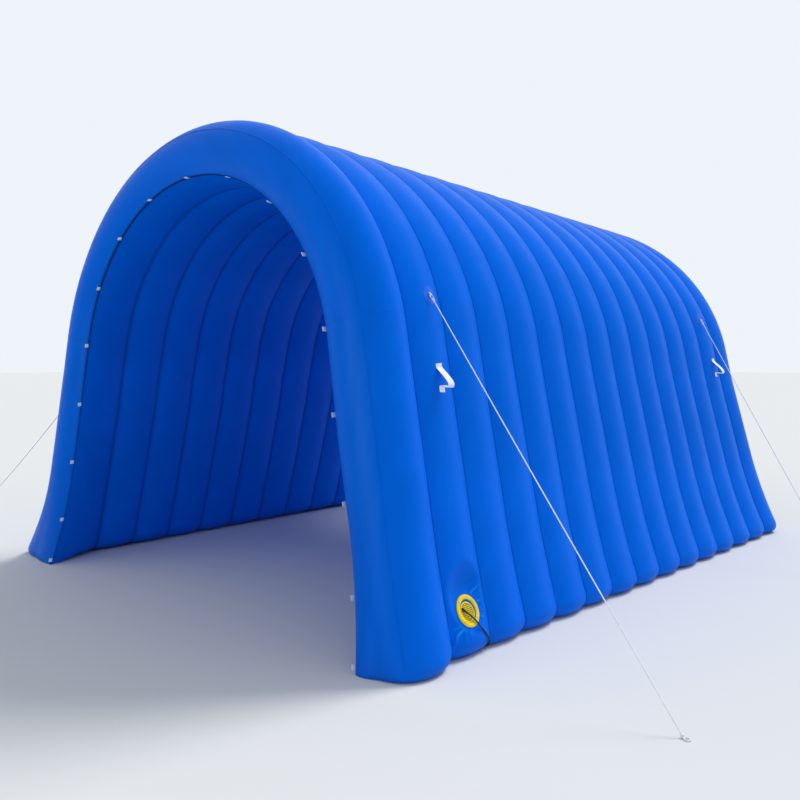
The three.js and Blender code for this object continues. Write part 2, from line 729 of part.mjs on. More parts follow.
for (const end of ["mouth", "back"]) {
  add(`handle_${end}_right`, handle(end, 1), WHITE_WEBBING);
  add(`handle_${end}_left`, handle(end, -1), WHITE_WEBBING);
}

add("port_ring", onPort(portRing(), GAP), YELLOW);
const { radius: grilleRadius, thick: grilleThick, shift } = GRILLE;
add("port_grille", onPort(disc(grilleRadius, grilleThick, 28), GAP, -shift, -shift), YELLOW);
add("cable_gland", onPort(gland(), 2 * GAP + grilleThick, GLAND.across, GLAND.up), BLACK);
add("power_cable", tube(cableRoute(), CABLE.diameter, CABLE.sides, 70), BLACK);
add("cable_coil", coil(), BLACK);
add("cable_plug", plug(), BLACK);

export default tunnel;
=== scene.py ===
"""Looks of an inflatable arch tunnel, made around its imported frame.

Metres throughout. +X runs across the tunnel to the blower port's side, +Y along it from the mouth
ring to the back, and +Z up. In the cloth's own terms "y" counts along the tunnel from the mouth
seam and "d" counts outwards from the mouth seam's arch; arch() turns both into a place in the row.
"""
import json
import math

import bmesh
import bpy
import numpy as np
from mathutils import Matrix, Vector

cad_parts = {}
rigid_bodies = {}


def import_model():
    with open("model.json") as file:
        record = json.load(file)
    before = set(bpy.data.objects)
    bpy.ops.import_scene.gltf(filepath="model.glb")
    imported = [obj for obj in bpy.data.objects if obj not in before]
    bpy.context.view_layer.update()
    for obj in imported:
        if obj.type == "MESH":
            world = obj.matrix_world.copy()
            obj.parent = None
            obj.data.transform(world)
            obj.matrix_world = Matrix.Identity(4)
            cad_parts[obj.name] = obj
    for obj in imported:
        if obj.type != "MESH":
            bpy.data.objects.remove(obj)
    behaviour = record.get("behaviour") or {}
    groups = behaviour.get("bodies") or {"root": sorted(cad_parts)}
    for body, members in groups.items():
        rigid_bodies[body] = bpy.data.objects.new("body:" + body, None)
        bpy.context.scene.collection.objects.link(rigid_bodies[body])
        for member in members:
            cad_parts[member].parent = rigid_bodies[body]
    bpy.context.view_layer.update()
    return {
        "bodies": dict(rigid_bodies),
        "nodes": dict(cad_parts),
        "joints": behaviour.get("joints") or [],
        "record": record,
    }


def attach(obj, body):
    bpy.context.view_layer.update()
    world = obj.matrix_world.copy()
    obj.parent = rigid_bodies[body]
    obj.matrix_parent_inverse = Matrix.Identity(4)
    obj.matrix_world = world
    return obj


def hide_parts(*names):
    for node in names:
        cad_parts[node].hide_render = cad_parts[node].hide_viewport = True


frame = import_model()

MM = 0.001
SEED = 11
ALONG_ROW = Vector((0, 1, 0))
GAP = 0.3 * MM
CENTRE_X = -67 * MM
CENTRE_Y = 2266 * MM

# ---- The cloth's shape, as the frame has it ---------------------------------------------------

CROWN_HEIGHT = 2640 * MM
HALF_SPAN = 1275 * MM
RISE = 1249 * MM
LEG_SLOPE = math.tan(math.radians(10))
LEG_ANGLE = math.atan(LEG_SLOPE * RISE / HALF_SPAN)
SPRING_HEIGHT = CROWN_HEIGHT - RISE
LEG_TOP = 1590 * MM

OUTER_VALLEY = 279 * MM
OUTER_SWELL = 34 * MM
INNER_VALLEY = 31 * MM
INNER_SWELL = 28 * MM
CROWN_DIP = 80 * MM
DIP_START = 1300 * MM
RIB_COUNT = 14
RIB_PITCH = 312 * MM

RING_DEPTH = 300 * MM
RING_Y = 143 * MM
RING_D = 146 * MM
RING_RADIUS = math.hypot(RING_Y, RING_D)
RING_SAG = 19.6 * MM  # how far the ring's lining swells inwards
MOUTH_LEAN = 38 * MM
LENGTH = RING_DEPTH + RIB_COUNT * RIB_PITCH

ROOF_RISE_Y = 450 * MM
ROOF_RISE = 0.008
ROOF_FALL = 0.062

INNER_SPLAY_HEIGHT = 1100 * MM
OUTER_SPLAY_HEIGHT = 695 * MM
LEG_SPLAY_HEIGHT = SPRING_HEIGHT
SPLAY_Y = [-64 * MM, 300 * MM, 900 * MM, LENGTH]
SPLAYS = {  # of the inside, the outside and the whole leg, at each SPLAY_Y, in millimetres at the ground
    -1: [[0, 95, 95, 95], [250, 150, 100, 80], [30, 20, 8, 65]],
    1: [[30, 60, 60, 70], [25, 25, 35, 80], [0, 0, 8, 65]],
}
MOUTH_PULL = {-1: 75 * MM, 1: 80 * MM}
RIB_ROUND = 100 * MM
RING_ROUND = 48 * MM
SEAM_ROUND = 25 * MM
FOOT_MIDDLE = 155 * MM
FOOT_REACH = 124 * MM

# The rounded back of the last rib: how far past its start, and how deep.
BACK_OUTLINE = [
    (0, 279),
    (55, 299),
    (130, 311),
    (205, 303),
    (265, 272),
    (308, 218),
    (325, 150),
    (310, 85),
    (265, 36),
    (205, 9),
    (130, 2),
    (60, 12),
    (0, 31),
]

# How fine the cloth is made.
STEP = 12 * MM
FOOT_STATIONS = np.array([0, 1.5, 4, 8, 14, 22, 32, 44, 58, 74, 90, 105]) * MM
ARC_LENGTH = 2.05  # of a quarter of the arch above the springing
SKIN_ROWS = 22
BAFFLE_ROWS = 4
LINING_ROWS = 13
RING_ROWS = 44
RING_LINING_ROWS = 16
BACK_ROWS = 58
LINING_DRAWS = 40  # a lining's puckers are drawn apart from its skin's
CURVE_STEPS = 24  # from one given point of a curve to the next


def arch(side, angle, height, y, d):
    """Places of the cloth in the row. height is nan above the legs; the rest are arrays or numbers."""

    def locate(depth):
        across = RISE * np.cos(angle)
        up = HALF_SPAN * np.sin(angle)
        size = np.hypot(across, up)
        top_x = HALF_SPAN * np.cos(angle) + depth * across / size
        top_z = SPRING_HEIGHT + RISE * np.sin(angle) + depth * up / size
        z = np.where(np.isnan(height), top_z, height)
        return top_x + (top_z - z) * LEG_SLOPE, z

    def low(z, reach):
        return np.maximum(0, 1 - z / reach)

    def splay(way, z, share):
        inner, outer, leg = (np.interp(y, SPLAY_Y, row) * MM for row in SPLAYS[way])
        outside = outer * low(z, OUTER_SPLAY_HEIGHT) ** 2 + leg * low(z, LEG_SPLAY_HEIGHT)
        inside = inner * low(z, INNER_SPLAY_HEIGHT)
        return inside + (outside - inside) * share

    inward = np.clip((OUTER_VALLEY - d) / (OUTER_VALLEY - INNER_VALLEY), 0, 1)
    behind = np.clip(y / RING_DEPTH, 0, 1)
    high = np.clip((locate(d)[1] - DIP_START) / (CROWN_HEIGHT - DIP_START), 0, 1)
    x, z = locate(d - CROWN_DIP * inward * behind * high)
    share = np.clip(d / OUTER_VALLEY, 0, 1)
    out = np.where(side > 0, splay(1, z, share), splay(-1, z, share))
    pull = np.where(side > 0, MOUTH_PULL[1], MOUTH_PULL[-1])
    pull = pull * low(z, OUTER_SPLAY_HEIGHT) ** 2 * np.clip(1 - d / RING_D, 0, 1)
    lean = (MOUTH_LEAN * np.clip(1 - z / CROWN_HEIGHT, 0, 1) + pull) * (1 - behind)
    rising = ROOF_RISE * np.maximum(0, y) / ROOF_RISE_Y
    falling = ROOF_RISE - (ROOF_RISE + ROOF_FALL) * (y - ROOF_RISE_Y) / (LENGTH - ROOF_RISE_Y)
    roof = np.where(y < ROOF_RISE_Y, rising, falling)
    spot = np.broadcast_arrays(side * (x + out) - CENTRE_X, y - lean - CENTRE_Y, z * (1 + roof))
    return np.stack(spot, axis=-1)


def arch_stations(step):
    """From the left foot over the crown to the right foot: side, angle and height of each station."""
    heights = np.append(FOOT_STATIONS, np.arange(FOOT_STATIONS[-1] + step, LEG_TOP, step))
    turns = np.linspace(LEG_ANGLE, math.pi / 2, round(ARC_LENGTH / step))
    height = np.append(heights, np.full(len(turns), np.nan))
    angle = np.append(np.full(len(heights), LEG_ANGLE), turns)
    side = np.append(np.full(len(angle), -1.0), np.full(len(angle) - 1, 1.0))
    return side, np.append(angle, angle[-2::-1]), np.append(height, height[-2::-1])


STATIONS = arch_stations(STEP)
FINE_STATIONS = arch_stations(4 * MM)


def walk(side, y, d):
    """The line of the cloth up one leg to the crown at one y and d, and its length at each point."""
    chosen = FINE_STATIONS[0] == side
    line = arch(*(each[chosen] for each in FINE_STATIONS), y, d)
    if side > 0:
        line = line[::-1]
    return line, lengths_along(line)


def along_walk(line, lengths, at):
    return Vector([np.interp(at, lengths, line[:, axis]) for axis in range(3)])


def on_skin(side, height, y, d, further=0):
    """The place on one leg at a true height, then so much further along the cloth towards the crown."""
    line, lengths = walk(side, y, d)
    start = np.interp(height, line[:, 2], lengths)
    return along_walk(line, lengths, start + further)


def rib_start(number):
    return RING_DEPTH + (number - 1) * RIB_PITCH


def rib_y(number, place):
    return rib_start(number) + GAP / 2 + place * (RIB_PITCH - GAP)


def swell(place):
    """The bulge between two seams, as a share of its highest."""
    return 4 * place * (1 - place)


def eased(share):
    """From 0 to 1 slowly, then fast, then slowly."""
    return share * share * (3 - 2 * share)


def lengths_along(line):
    """How far each point of a line is from its start, along the line."""
    return np.append(0, np.cumsum(np.linalg.norm(np.diff(line, axis=0), axis=1)))


def squared(way, line):
    """A direction turned until it is square to another."""
    return (way - line * way.dot(line)).normalized()


def skin_depth(place):
    return OUTER_VALLEY + OUTER_SWELL * swell(place)


# ---- Meshes -----------------------------------------------------------------------------------


def finished(name, bm, finish, smooth=True, sharp=None):
    """A piece at the origin from a bmesh, which is freed."""
    mesh = bpy.data.meshes.new(name)
    bm.to_mesh(mesh)
    bm.free()
    mesh.polygons.foreach_set("use_smooth", [smooth] * len(mesh.polygons))
    if sharp is not None:
        mesh.set_sharp_from_angle(angle=math.radians(sharp))
    mesh.materials.append(finish)
    piece = bpy.data.objects.new(name, mesh)
    bpy.context.scene.collection.objects.link(piece)
    return piece


def rolled_sheet(points, marks=None):
    """A grid laid over points[row][station], its first and last rows joined, and both ends closed."""
    rows, columns = points.shape[:2]
    bm = bmesh.new()
    bm.loops.layers.uv.new("cloth")
    bmesh.ops.create_grid(bm, x_segments=columns - 1, y_segments=rows - 1, size=0.5, calc_uvs=True)
    sheet = bpy.data.meshes.new("sheet")
    bm.to_mesh(sheet)
    bm.free()
    along = np.cumsum(np.linalg.norm(np.diff(points, axis=1, prepend=points[:, :1]), axis=2), axis=1)
    across = np.cumsum(np.linalg.norm(np.diff(points, axis=0, prepend=points[:1]), axis=2), axis=0)
    flat = np.stack([along, across], axis=-1).reshape(-1, 2)
    corners = np.empty(len(sheet.loops), dtype=np.int32)
    sheet.loops.foreach_get("vertex_index", corners)
    sheet.uv_layers["cloth"].data.foreach_set("uv", flat[corners].ravel())
    sheet.vertices.foreach_set("co", points.reshape(-1))
    for mark, values in (marks or {}).items():
        layer = sheet.attributes.new(mark, "FLOAT", "POINT")
        layer.data.foreach_set("value", np.broadcast_to(values, (rows, columns)).reshape(-1))
    bm = bmesh.new()
    bm.from_mesh(sheet)
    bpy.data.meshes.remove(sheet)
    bmesh.ops.remove_doubles(bm, verts=bm.verts, dist=1e-6)
    close_rims(bm)
    bmesh.ops.recalc_face_normals(bm, faces=bm.faces)
    return bm


def close_rims(bm):
    bmesh.ops.holes_fill(bm, edges=[edge for edge in bm.edges if edge.is_boundary], sides=0)


def merge(bm, other):
    """Adds another bmesh, which is freed."""
    mesh = bpy.data.meshes.new("merged")
    other.to_mesh(mesh)
    other.free()
    bm.from_mesh(mesh)
    bpy.data.meshes.remove(mesh)


def rotate(bm, verts, angle, axis):
    bmesh.ops.rotate(bm, verts=verts, cent=(0, 0, 0), matrix=Matrix.Rotation(angle, 3, axis))


def bevelled(bm, geom, offset, segments, affect="EDGES"):
    bmesh.ops.bevel(bm, geom=geom, offset=offset, segments=segments, profile=0.5, affect=affect, material=-1)


def spun(bm, outline, steps):
    """Turns an outline right round +Z."""
    bmesh.ops.spin(
        bm, geom=outline, cent=(0, 0, 0), axis=(0, 0, 1), angle=2 * math.pi, steps=steps, use_merge=True
    )
    bmesh.ops.remove_doubles(bm, verts=bm.verts, dist=1e-7)
    bmesh.ops.recalc_face_normals(bm, faces=bm.faces)


def smooth_line(points, count):
    """A curve of even points through the given ones."""
    knots = [Vector(point) for point in points]
    knots.insert(0, 2 * knots[0] - knots[1])
    knots.append(2 * knots[-1] - knots[-2])
    dense = []
    for before, start, end, after in zip(knots, knots[1:], knots[2:], knots[3:]):
        gaps = (start - before, end - start, after - end)
        first, middle, last = (max(1e-9, gap.length**0.5) for gap in gaps)
        ahead = (end - start) / middle
        leave = ((start - before) / first - (end - before) / (first + middle) + ahead) * middle
        arrive = (ahead - (after - start) / (middle + last) + (after - end) / last) * middle
        for step in range(CURVE_STEPS):
            t = step / CURVE_STEPS
            dense.append(
                (2 * t**3 - 3 * t**2 + 1) * start
                + (t**3 - 2 * t**2 + t) * leave
                + (3 * t**2 - 2 * t**3) * end
                + (t**3 - t**2) * arrive
            )
    dense.append(knots[-2])
    return even_line(np.array(dense), count)


def even_line(line, count):
    lengths = lengths_along(line)
    at = np.linspace(0, lengths[-1], count)
    return np.stack([np.interp(at, lengths, line[:, axis]) for axis in range(line.shape[1])], axis=-1)


def carried_frames(line, across=None):
    """At each point of a line, a direction across it and one square to both, without any twist."""
    ways = np.gradient(line, axis=0)
    ways /= np.linalg.norm(ways, axis=1)[:, None]
    start = Vector(across) if across is not None else Vector((0.31, 0.17, 0.94))
    frames = []
    for way in ways:
        way = Vector(way)
        start = squared(start, way)
        frames.append((np.array(start), np.array(way.cross(start))))
    return frames


def swept(line, section, across=None):
    """Points of a tube. Its outline is fixed, or section(share along it) gives it at each station."""
    frames = carried_frames(line, across)
    stations = []
    for i, (point, (first, second)) in enumerate(zip(line, frames)):
        offsets = section(i / (len(line) - 1)) if callable(section) else section
        stations.append(point + offsets[:, :1] * first + offsets[:, 1:] * second)
    return np.array(stations).transpose(1, 0, 2)


def circle(radius, sides):
    turns = np.linspace(0, 2 * math.pi, sides + 1)
    return np.stack([radius * np.cos(turns), radius * np.sin(turns)], axis=-1)


def squarish(turns, power):
    """Across and up at each turn round a circle of 1. The smaller the power, the squarer it is."""
    cos, sin = np.cos(turns), np.sin(turns)
    return np.sign(cos) * np.abs(cos) ** power, np.sign(sin) * np.abs(sin) ** power


def webbing_section(width, thick):
    """A flat strap's outline, with rounded edges and a faint rib along its middle."""
    half = width / 2 - thick / 2
    turns = np.radians([-90, -45, 0, 45, 90])
    right = [(half + thick / 2 * math.cos(t), thick / 2 * math.sin(t)) for t in turns]
    top = [(half * share, thick / 2) for share in (0.5, 0, -0.5)]
    left = [(-x, -z) for x, z in right]
    bottom = [(-x, -z) for x, z in top]
    outline = right + top + left + bottom
    return np.array(outline + outline[:1])


def strap_piece(name, line, width, thick, across, finish, marks=None):
    """A flat strap along a line, with its width across it."""
    points = swept(np.array(line), webbing_section(width, thick), across)
    return finished(name, rolled_sheet(points, marks), finish, sharp=60)


# ---- Finishes ---------------------------------------------------------------------------------


class Finish:
    """A material and short ways to add nodes to it."""

    def __init__(self, name, colour, roughness, **shader):
        self.material = bpy.data.materials.new(name)
        self.material.use_nodes = True
        self.nodes = self.material.node_tree.nodes
        self.links = self.material.node_tree.links
        self.shader = self.nodes["Principled BSDF"]
        self.shader.inputs["Base Color"].default_value = (*colour, 1)
        self.shader.inputs["Roughness"].default_value = roughness
        for socket, value in shader.items():
            self.shader.inputs[socket.replace("_", " ")].default_value = value

    def link(self, source, target):
        self.links.new(source, target)

    def add(self, kind, inputs, output, **settings):
        """A node's output. Each input is a number, a colour or another node's output."""
        node = self.nodes.new("ShaderNode" + kind)
        for setting, value in settings.items():
            setattr(node, setting, value)
        for name, value in inputs.items():
            socket = node.inputs[name]
            if isinstance(value, (int, float)):
                socket.default_value = value
            elif isinstance(value, tuple):
                socket.default_value = (*value, 1)
            else:
                self.link(value, socket)
        return node.outputs[output]

    def uv(self):
        return self.add("UVMap", {}, "UV", uv_map="cloth")

    def object_space(self):
        return self.add("TexCoord", {}, "Object")

    def mark(self, name):
        return self.add("Attribute", {}, "Fac", attribute_name=name)

    def noise(self, vector, scale, detail=2.0, roughness=0.5):
        inputs = {"Vector": vector, "Scale": scale, "Detail": detail, "Roughness": roughness}
        return self.add("TexNoise", inputs, "Fac")

    def bands(self, vector, scale, direction):
        return self.add("TexWave", {"Vector": vector, "Scale": scale}, "Fac", bands_direction=direction)

    def ramp(self, source, low, high, to_low=0.0, to_high=1.0):
        limits = {"From Min": low, "From Max": high, "To Min": to_low, "To Max": to_high}
        return self.add("MapRange", {"Value": source, **limits}, "Result")

    def uneven(self, vector, scale, detail, low, high):
        """Values that wander between two limits."""
        return self.ramp(self.noise(vector, scale, detail), 0.3, 0.7, low, high)

    def maths(self, operation, first, second):
        return self.add("Math", {0: first, 1: second}, "Value", operation=operation)

    def mix(self, share, first, second, blend="MIX"):
        return self.add("Mix", {0: share, 6: first, 7: second}, 2, data_type="RGBA", blend_type=blend)

    def colour(self, source):
        self.link(source, self.shader.inputs["Base Color"])

    def rough(self, source):
        self.link(source, self.shader.inputs["Roughness"])

    def bump(self, height, distance, strength=1.0):
        """Adds fine relief on top of any that is already there."""
        normal = self.shader.inputs["Normal"]
        inputs = {"Height": height, "Distance": distance, "Strength": strength}
        if normal.is_linked:
            inputs["Normal"] = normal.links[0].from_socket
        self.link(self.add("Bump", inputs, "Normal"), normal)


BLUE = (0.0004, 0.137, 0.77)
SEAM_AND_SHADE_BLUE = (0.0004, 0.038, 0.31)
FOLD_HIGHLIGHT_BLUE = (0.02, 0.33, 0.98)
GLOSS_BLUE = (0.45, 0.85, 1.0, 1.0)
MOUTH_LINE_NAVY = (0.002, 0.018, 0.09)
MOULDED_YELLOW = (0.95, 0.71, 0.008)
ROPE_WHITE = (0.93, 0.94, 0.95)
DUST_AND_SHADE = (0.02, 0.10, 0.42)


def coated_cloth():
    """Coated cloth: a satin face over a fine weave, darker along seams with painted shade in their valleys,
    with painted highlights on the ridges of the folds round the port, darker near the ground with dust and
    painted shade, and a dark line along the mouth seam.
    """
    cloth = Finish("coated_cloth", BLUE, 0.36, Specular_IOR_Level=0.035, Specular_Tint=GLOSS_BLUE)
    tone = cloth.ramp(cloth.noise(cloth.uv(), 1.6, 4.0, 0.6), 0.3, 0.7, 0.93, 1.07)
    blue = cloth.mix(1.0, BLUE, tone, "MULTIPLY")
    # Darker towards the ground: patchy dust, and painted shade near the floor.
    dust_and_shade = cloth.maths("MULTIPLY", cloth.mark("hem"), cloth.ramp(cloth.noise(cloth.uv(), 9, 5), 0.35, 0.75))
    blue = cloth.mix(cloth.maths("MULTIPLY", dust_and_shade, 0.5), blue, DUST_AND_SHADE)
    # Darker along the seams: a dark seam line, and painted shade in the valleys beside the seams.
    blue = cloth.mix(cloth.maths("MULTIPLY", cloth.mark("seam"), 0.8), blue, SEAM_AND_SHADE_BLUE)
    # Painted highlight: the ridges of the folds round the port turn a paler blue, in patches.
    patchy_highlight = cloth.ramp(cloth.noise(cloth.uv(), 30, 2), 0.3, 0.6, 0.4, 0.9)
    blue = cloth.mix(cloth.maths("MULTIPLY", cloth.mark("fold_highlight"), patchy_highlight), blue, FOLD_HIGHLIGHT_BLUE)
    # A dark line along the mouth seam, fainter towards the ground.
    cloth.colour(cloth.mix(cloth.mark("mouth_line"), blue, MOUTH_LINE_NAVY))
    cloth.rough(cloth.uneven(cloth.uv(), 5, 4, 0.31, 0.41))
    weave = cloth.maths("ADD", cloth.bands(cloth.uv(), 190, "X"), cloth.bands(cloth.uv(), 190, "Y"))
    cloth.bump(cloth.noise(cloth.uv(), 3.2, 2.0), 0.02, 0.35)
    cloth.bump(weave, 0.00018, 0.35)
    return cloth.material


def patch_cloth():
    """The welded patches: the same cloth with a glossier face."""
    cloth = Finish("patch_cloth", (0.0004, 0.13, 0.77), 0.24, Specular_IOR_Level=0.16)
    cloth.rough(cloth.uneven(cloth.object_space(), 40, 4, 0.16, 0.36))
    cloth.bump(cloth.noise(cloth.object_space(), 34, 3), 0.006, 0.5)
    return cloth.material


def webbing(name, colour):
    """Woven strap or thread: a herringbone of fine ribs, a little grubby."""
    strap = Finish(name, colour, 0.8, Specular_IOR_Level=0.25, Sheen_Weight=0.15)
    tone = strap.ramp(strap.noise(strap.object_space(), 30, 4), 0.3, 0.75, 0.9, 1.04)
    strap.colour(strap.mix(1.0, colour, tone, "MULTIPLY"))
    twill = strap.bands(strap.uv(), 170, "DIAGONAL")
    ribs = strap.maths("MULTIPLY", twill, strap.bands(strap.uv(), 120, "Y"))
    strap.bump(ribs, 0.0004, 0.6)
    return strap.material


def rope_yarn():
    """White rope: its strands are modelled, and the yarns in them are fine bands."""
    rope = Finish("white_rope", ROPE_WHITE, 0.75, Specular_IOR_Level=0.3)
    tone = rope.uneven(rope.uv(), 60, 3, 0.88, 1.03)
    rope.colour(rope.mix(1.0, ROPE_WHITE, tone, "MULTIPLY"))
    rope.bump(rope.bands(rope.uv(), 260, "DIAGONAL"), 0.0003, 0.5)
    return rope.material


def bright_steel():
    steel = Finish("steel", (0.62, 0.64, 0.66), 0.28, Metallic=1.0)
    steel.rough(steel.uneven(steel.object_space(), 160, 4, 0.2, 0.42))
    steel.bump(steel.noise(steel.object_space(), 700, 2), 0.0002, 0.3)
    return steel.material


def yellow_plastic():
    """Moulded plastic, with a fine texture and a little dirt where it is not rubbed."""
    plastic = Finish("yellow_plastic", MOULDED_YELLOW, 0.42, Specular_IOR_Level=0.4)
    tone = plastic.ramp(plastic.noise(plastic.object_space(), 45, 5), 0.35, 0.7, 0.88, 1.04)
    plastic.colour(plastic.mix(1.0, MOULDED_YELLOW, tone, "MULTIPLY"))
    plastic.rough(plastic.uneven(plastic.object_space(), 90, 3, 0.36, 0.56))
    plastic.bump(plastic.noise(plastic.object_space(), 900, 2), 0.0002, 0.4)
    return plastic.material


def black_rubber():
    rubber = Finish("black_rubber", (0.012, 0.012, 0.014), 0.5, Specular_IOR_Level=0.4)
    rubber.rough(rubber.uneven(rubber.object_space(), 120, 4, 0.38, 0.62))
    rubber.bump(rubber.noise(rubber.object_space(), 1100, 2), 0.0002, 0.35)
    return rubber.material


CLOTH = coated_cloth()
PATCH = patch_cloth()
WEBBING = webbing("white_webbing", (0.95, 0.96, 0.97))
THREAD = webbing("tan_thread", (0.50, 0.36, 0.17))
ROPE = rope_yarn()
STEEL = bright_steel()
YELLOW = yellow_plastic()
RUBBER = black_rubber()


def keep(piece, slot, *nodes):
    """Every piece rides the one body, and may stand for CAD nodes. The slot is not used."""
    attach(piece, "root")
    if nodes:
        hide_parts(*nodes)
    return piece


# ---- Where the blower port sits ----------------------------------------------------------------

PORT_HEIGHT = 228 * MM
PORT_TILT = math.radians(13)
PORT_SEAT = 90 * MM
PORT_THICK = 8 * MM
SEAT_CUT = 24 * MM
GRILLE_THICK = 3 * MM
GRILLE_PLACE = (GAP / MM, -4.5, -4.5)  # off the port's seat, across it and up it, in millimetres
GLAND_LIFT = (2 * GAP + GRILLE_THICK) / MM
GLAND_START = np.array([-44, 18])  # across and up the port, in millimetres
GLAND_RADIUS = 6
GLAND_LENGTH = 16
GLAND_WAY = np.array([1, -1]) / math.sqrt(2)
CABLE_DIAMETER = 8 * MM
CABLE_Z = 4.6
COIL_X = 1290
COIL_Y = 830
COIL_TURNS = [33, 41, 49, 57]  # millimetres to the middle of each, in each of two layers
COIL_POINTS = 24  # to a turn
COIL_SIDE = COIL_TURNS[-1] + CABLE_DIAMETER / MM  # where the cable comes in and goes out
PLUG_TAIL = 36  # of cable, from the coil to the plug's grip
PLUG_CORNER = 0.62
BLADE = (1.6 * MM, 20 * MM, 6.4 * MM)
BLADE_SPREAD = 6.4
BLADE_REACH = 86  # from the coil's middle line to the middle of each blade
BLADE_Z = 13.6
PIN_RADII = (2.4 * MM, 1.7 * MM)
PIN_LENGTH = 22 * MM
PIN_REACH = 87
PIN_Z = 5.3
TIE_HALF = 8.9  # half of a tie's height round the coil
TIE_LIFT = 0.7  # its underside, over the ground
TIE_CORNER = 0.45
TIE_WIDTH = 10 * MM
TIE_THICK = 1 * MM


def port_frame():
    """The port's middle, the way up it and the way out of the cloth. It leans back from the leg."""
    y = rib_y(1, 0.5)
    depth = OUTER_VALLEY + 0.91 * OUTER_SWELL
    here = Vector(arch(1.0, LEG_ANGLE, PORT_HEIGHT, y, depth))
    above = Vector(arch(1.0, LEG_ANGLE, PORT_HEIGHT + 40 * MM, y, depth))
    up = Matrix.Rotation(-PORT_TILT, 3, ALONG_ROW) @ (above - here).normalized()
    return here, up, ALONG_ROW.cross(up).normalized()


PORT_HERE, PORT_UP, PORT_OUT = port_frame()


def on_port(lift, across, up):
    """A place over the port's seat, in metres from millimetres."""
    return PORT_HERE + PORT_OUT * (lift * MM - SEAT_CUT) + ALONG_ROW * across * MM + PORT_UP * up * MM


# ---- The air chambers --------------------------------------------------------------------------

LONGEST_LINE = 9  # more than any line of cloth over the arch
GATHERS = (38 * MM, 90 * MM)
PUCKER_REACH = 17 * MM
PUCKER_HEIGHT = 0.55 * MM
FOOT_PUCKER = 2.4 * MM  # how much higher the puckers are at the feet
CRUMPLE_WAVES = 7
CRUMPLE_TURNS = (6, 26)  # radians of a wave to a metre, at the least and the most
RIB_CRUMPLE = 2.6 * MM
RING_CRUMPLE = 2.2 * MM
SLACK_HEIGHT = 620 * MM
FILL_START = 1500 * MM
CROWN_FILL = 20 * MM
# Widths of the dark seam line outside and of the painted valley shade inside, and that shade's strength.
SEAM_WIDTH = 5 * MM
INNER_SEAM_WIDTH = 24 * MM
INNER_SEAM_SHADE = 0.72
HEM_HEIGHT = 110 * MM
MOUTH_LINE_WIDTH = 6 * MM
MOUTH_LINE_HEIGHT = 2.1  # the dark line shows less and less below this height
PORT_SLOPE = 148 * MM
PORT_LEAN = 105 * MM  # how much further the cloth slopes above the port
# How high a fold stands where its painted highlight starts, and where that highlight is full.
FOLD_HIGHLIGHT_START = 1.2 * MM
FOLD_HIGHLIGHT_DEPTH = 3.6 * MM
PORT_CLOTH = 262 * MM  # the cloth is made finer out to here
FOLD_BEND = 3.5  # degrees to each side as a fold runs out
FRONT_DEPTH = 70 * MM
PORT_FOLDS = [  # degrees round the port, their width, how far the fold runs and its height, in millimetres
    (80, 9, 70, 1.2),
    (45, 4.6, 100, 6.8),
    (32, 3.6, 70, 4.8),
    (14, 6, 52, 4.8),
    (-8, 4.4, 46, 3.8),
    (-30, 6, 56, 4.4),
    (-66, 8, 70, 2.2),
    (-104, 6, 70, 3.2),
    (-122, 4.2, 90, 4.8),
    (-137, 4.8, 140, 7.0),
    (-150, 3.8, 130, 4.8),
    (170, 12, 60, 1.2),
]


def ripple(at, wave, stream):
    """A smooth random line, about one bump to a wave, read at the given lengths."""
    knots = stream.standard_normal(int(LONGEST_LINE / wave) + 4)
    place = np.clip(np.asarray(at) / wave, 0, len(knots) - 2.001)
    first = np.floor(place).astype(int)
    share = eased(place - first)
    return knots[first] * (1 - share) + knots[first + 1] * share


def seam_stream(number):
    """The same draws on both sides of a seam, so that its puckers run across it."""
    return np.random.default_rng(SEED + number)


def pucker(number, lengths, reach, low):
    """How far the cloth lifts beside a seam: small gathers that die away, stronger at the feet."""
    stream = seam_stream(number)
    gathers = ripple(lengths, GATHERS[0], stream) + 0.6 * ripple(lengths, GATHERS[1], stream)
    lobe = reach / PUCKER_REACH * np.exp(1 - reach / PUCKER_REACH)
    return (PUCKER_HEIGHT + FOOT_PUCKER * low) * gathers * lobe


def slackness(lengths, total):
    """1 at the feet, where the cloth is slacker, and 0 a third of the way up."""
    from_foot = np.minimum(lengths, total - lengths)
    return np.clip(1 - from_foot / SLACK_HEIGHT, 0, 1) ** 2


def crown_fill(lengths, total):
    """How much shallower the valleys are over the crown than on the legs."""
    from_foot = np.minimum(lengths, total - lengths)
    share = np.clip((from_foot - FILL_START) / (total / 2 - FILL_START), 0, 1)
    return CROWN_FILL * np.sin(share * math.pi / 2) ** 2


def seam_rows(count):
    """Shares from one seam to the next, closer together beside the seams."""
    return (1 - np.cos(np.linspace(0, math.pi, count))) / 2


def inset(radius, height):
    """How far a quarter circle from the ground up lies inside its outline."""
    under = np.clip(radius - np.nan_to_num(height, nan=LEG_TOP), 0, radius)
    return radius - np.sqrt(radius**2 - under**2)


def foot_rounding(y, d, height, square):
    """The underside's rounding: each place moves towards the section's middle near the ground."""
    along = (2 * y - y.min() - y.max()) / (y.max() - y.min())
    across = np.clip((d - FOOT_MIDDLE) / FOOT_REACH, -1, 1)
    ring_share = np.clip(1 - y / RING_DEPTH, 0, 1)
    radius = RIB_ROUND + (RING_ROUND - RIB_ROUND) * ring_share
    return y - along * inset(SEAM_ROUND * square, height), d - across * inset(radius * square, height)


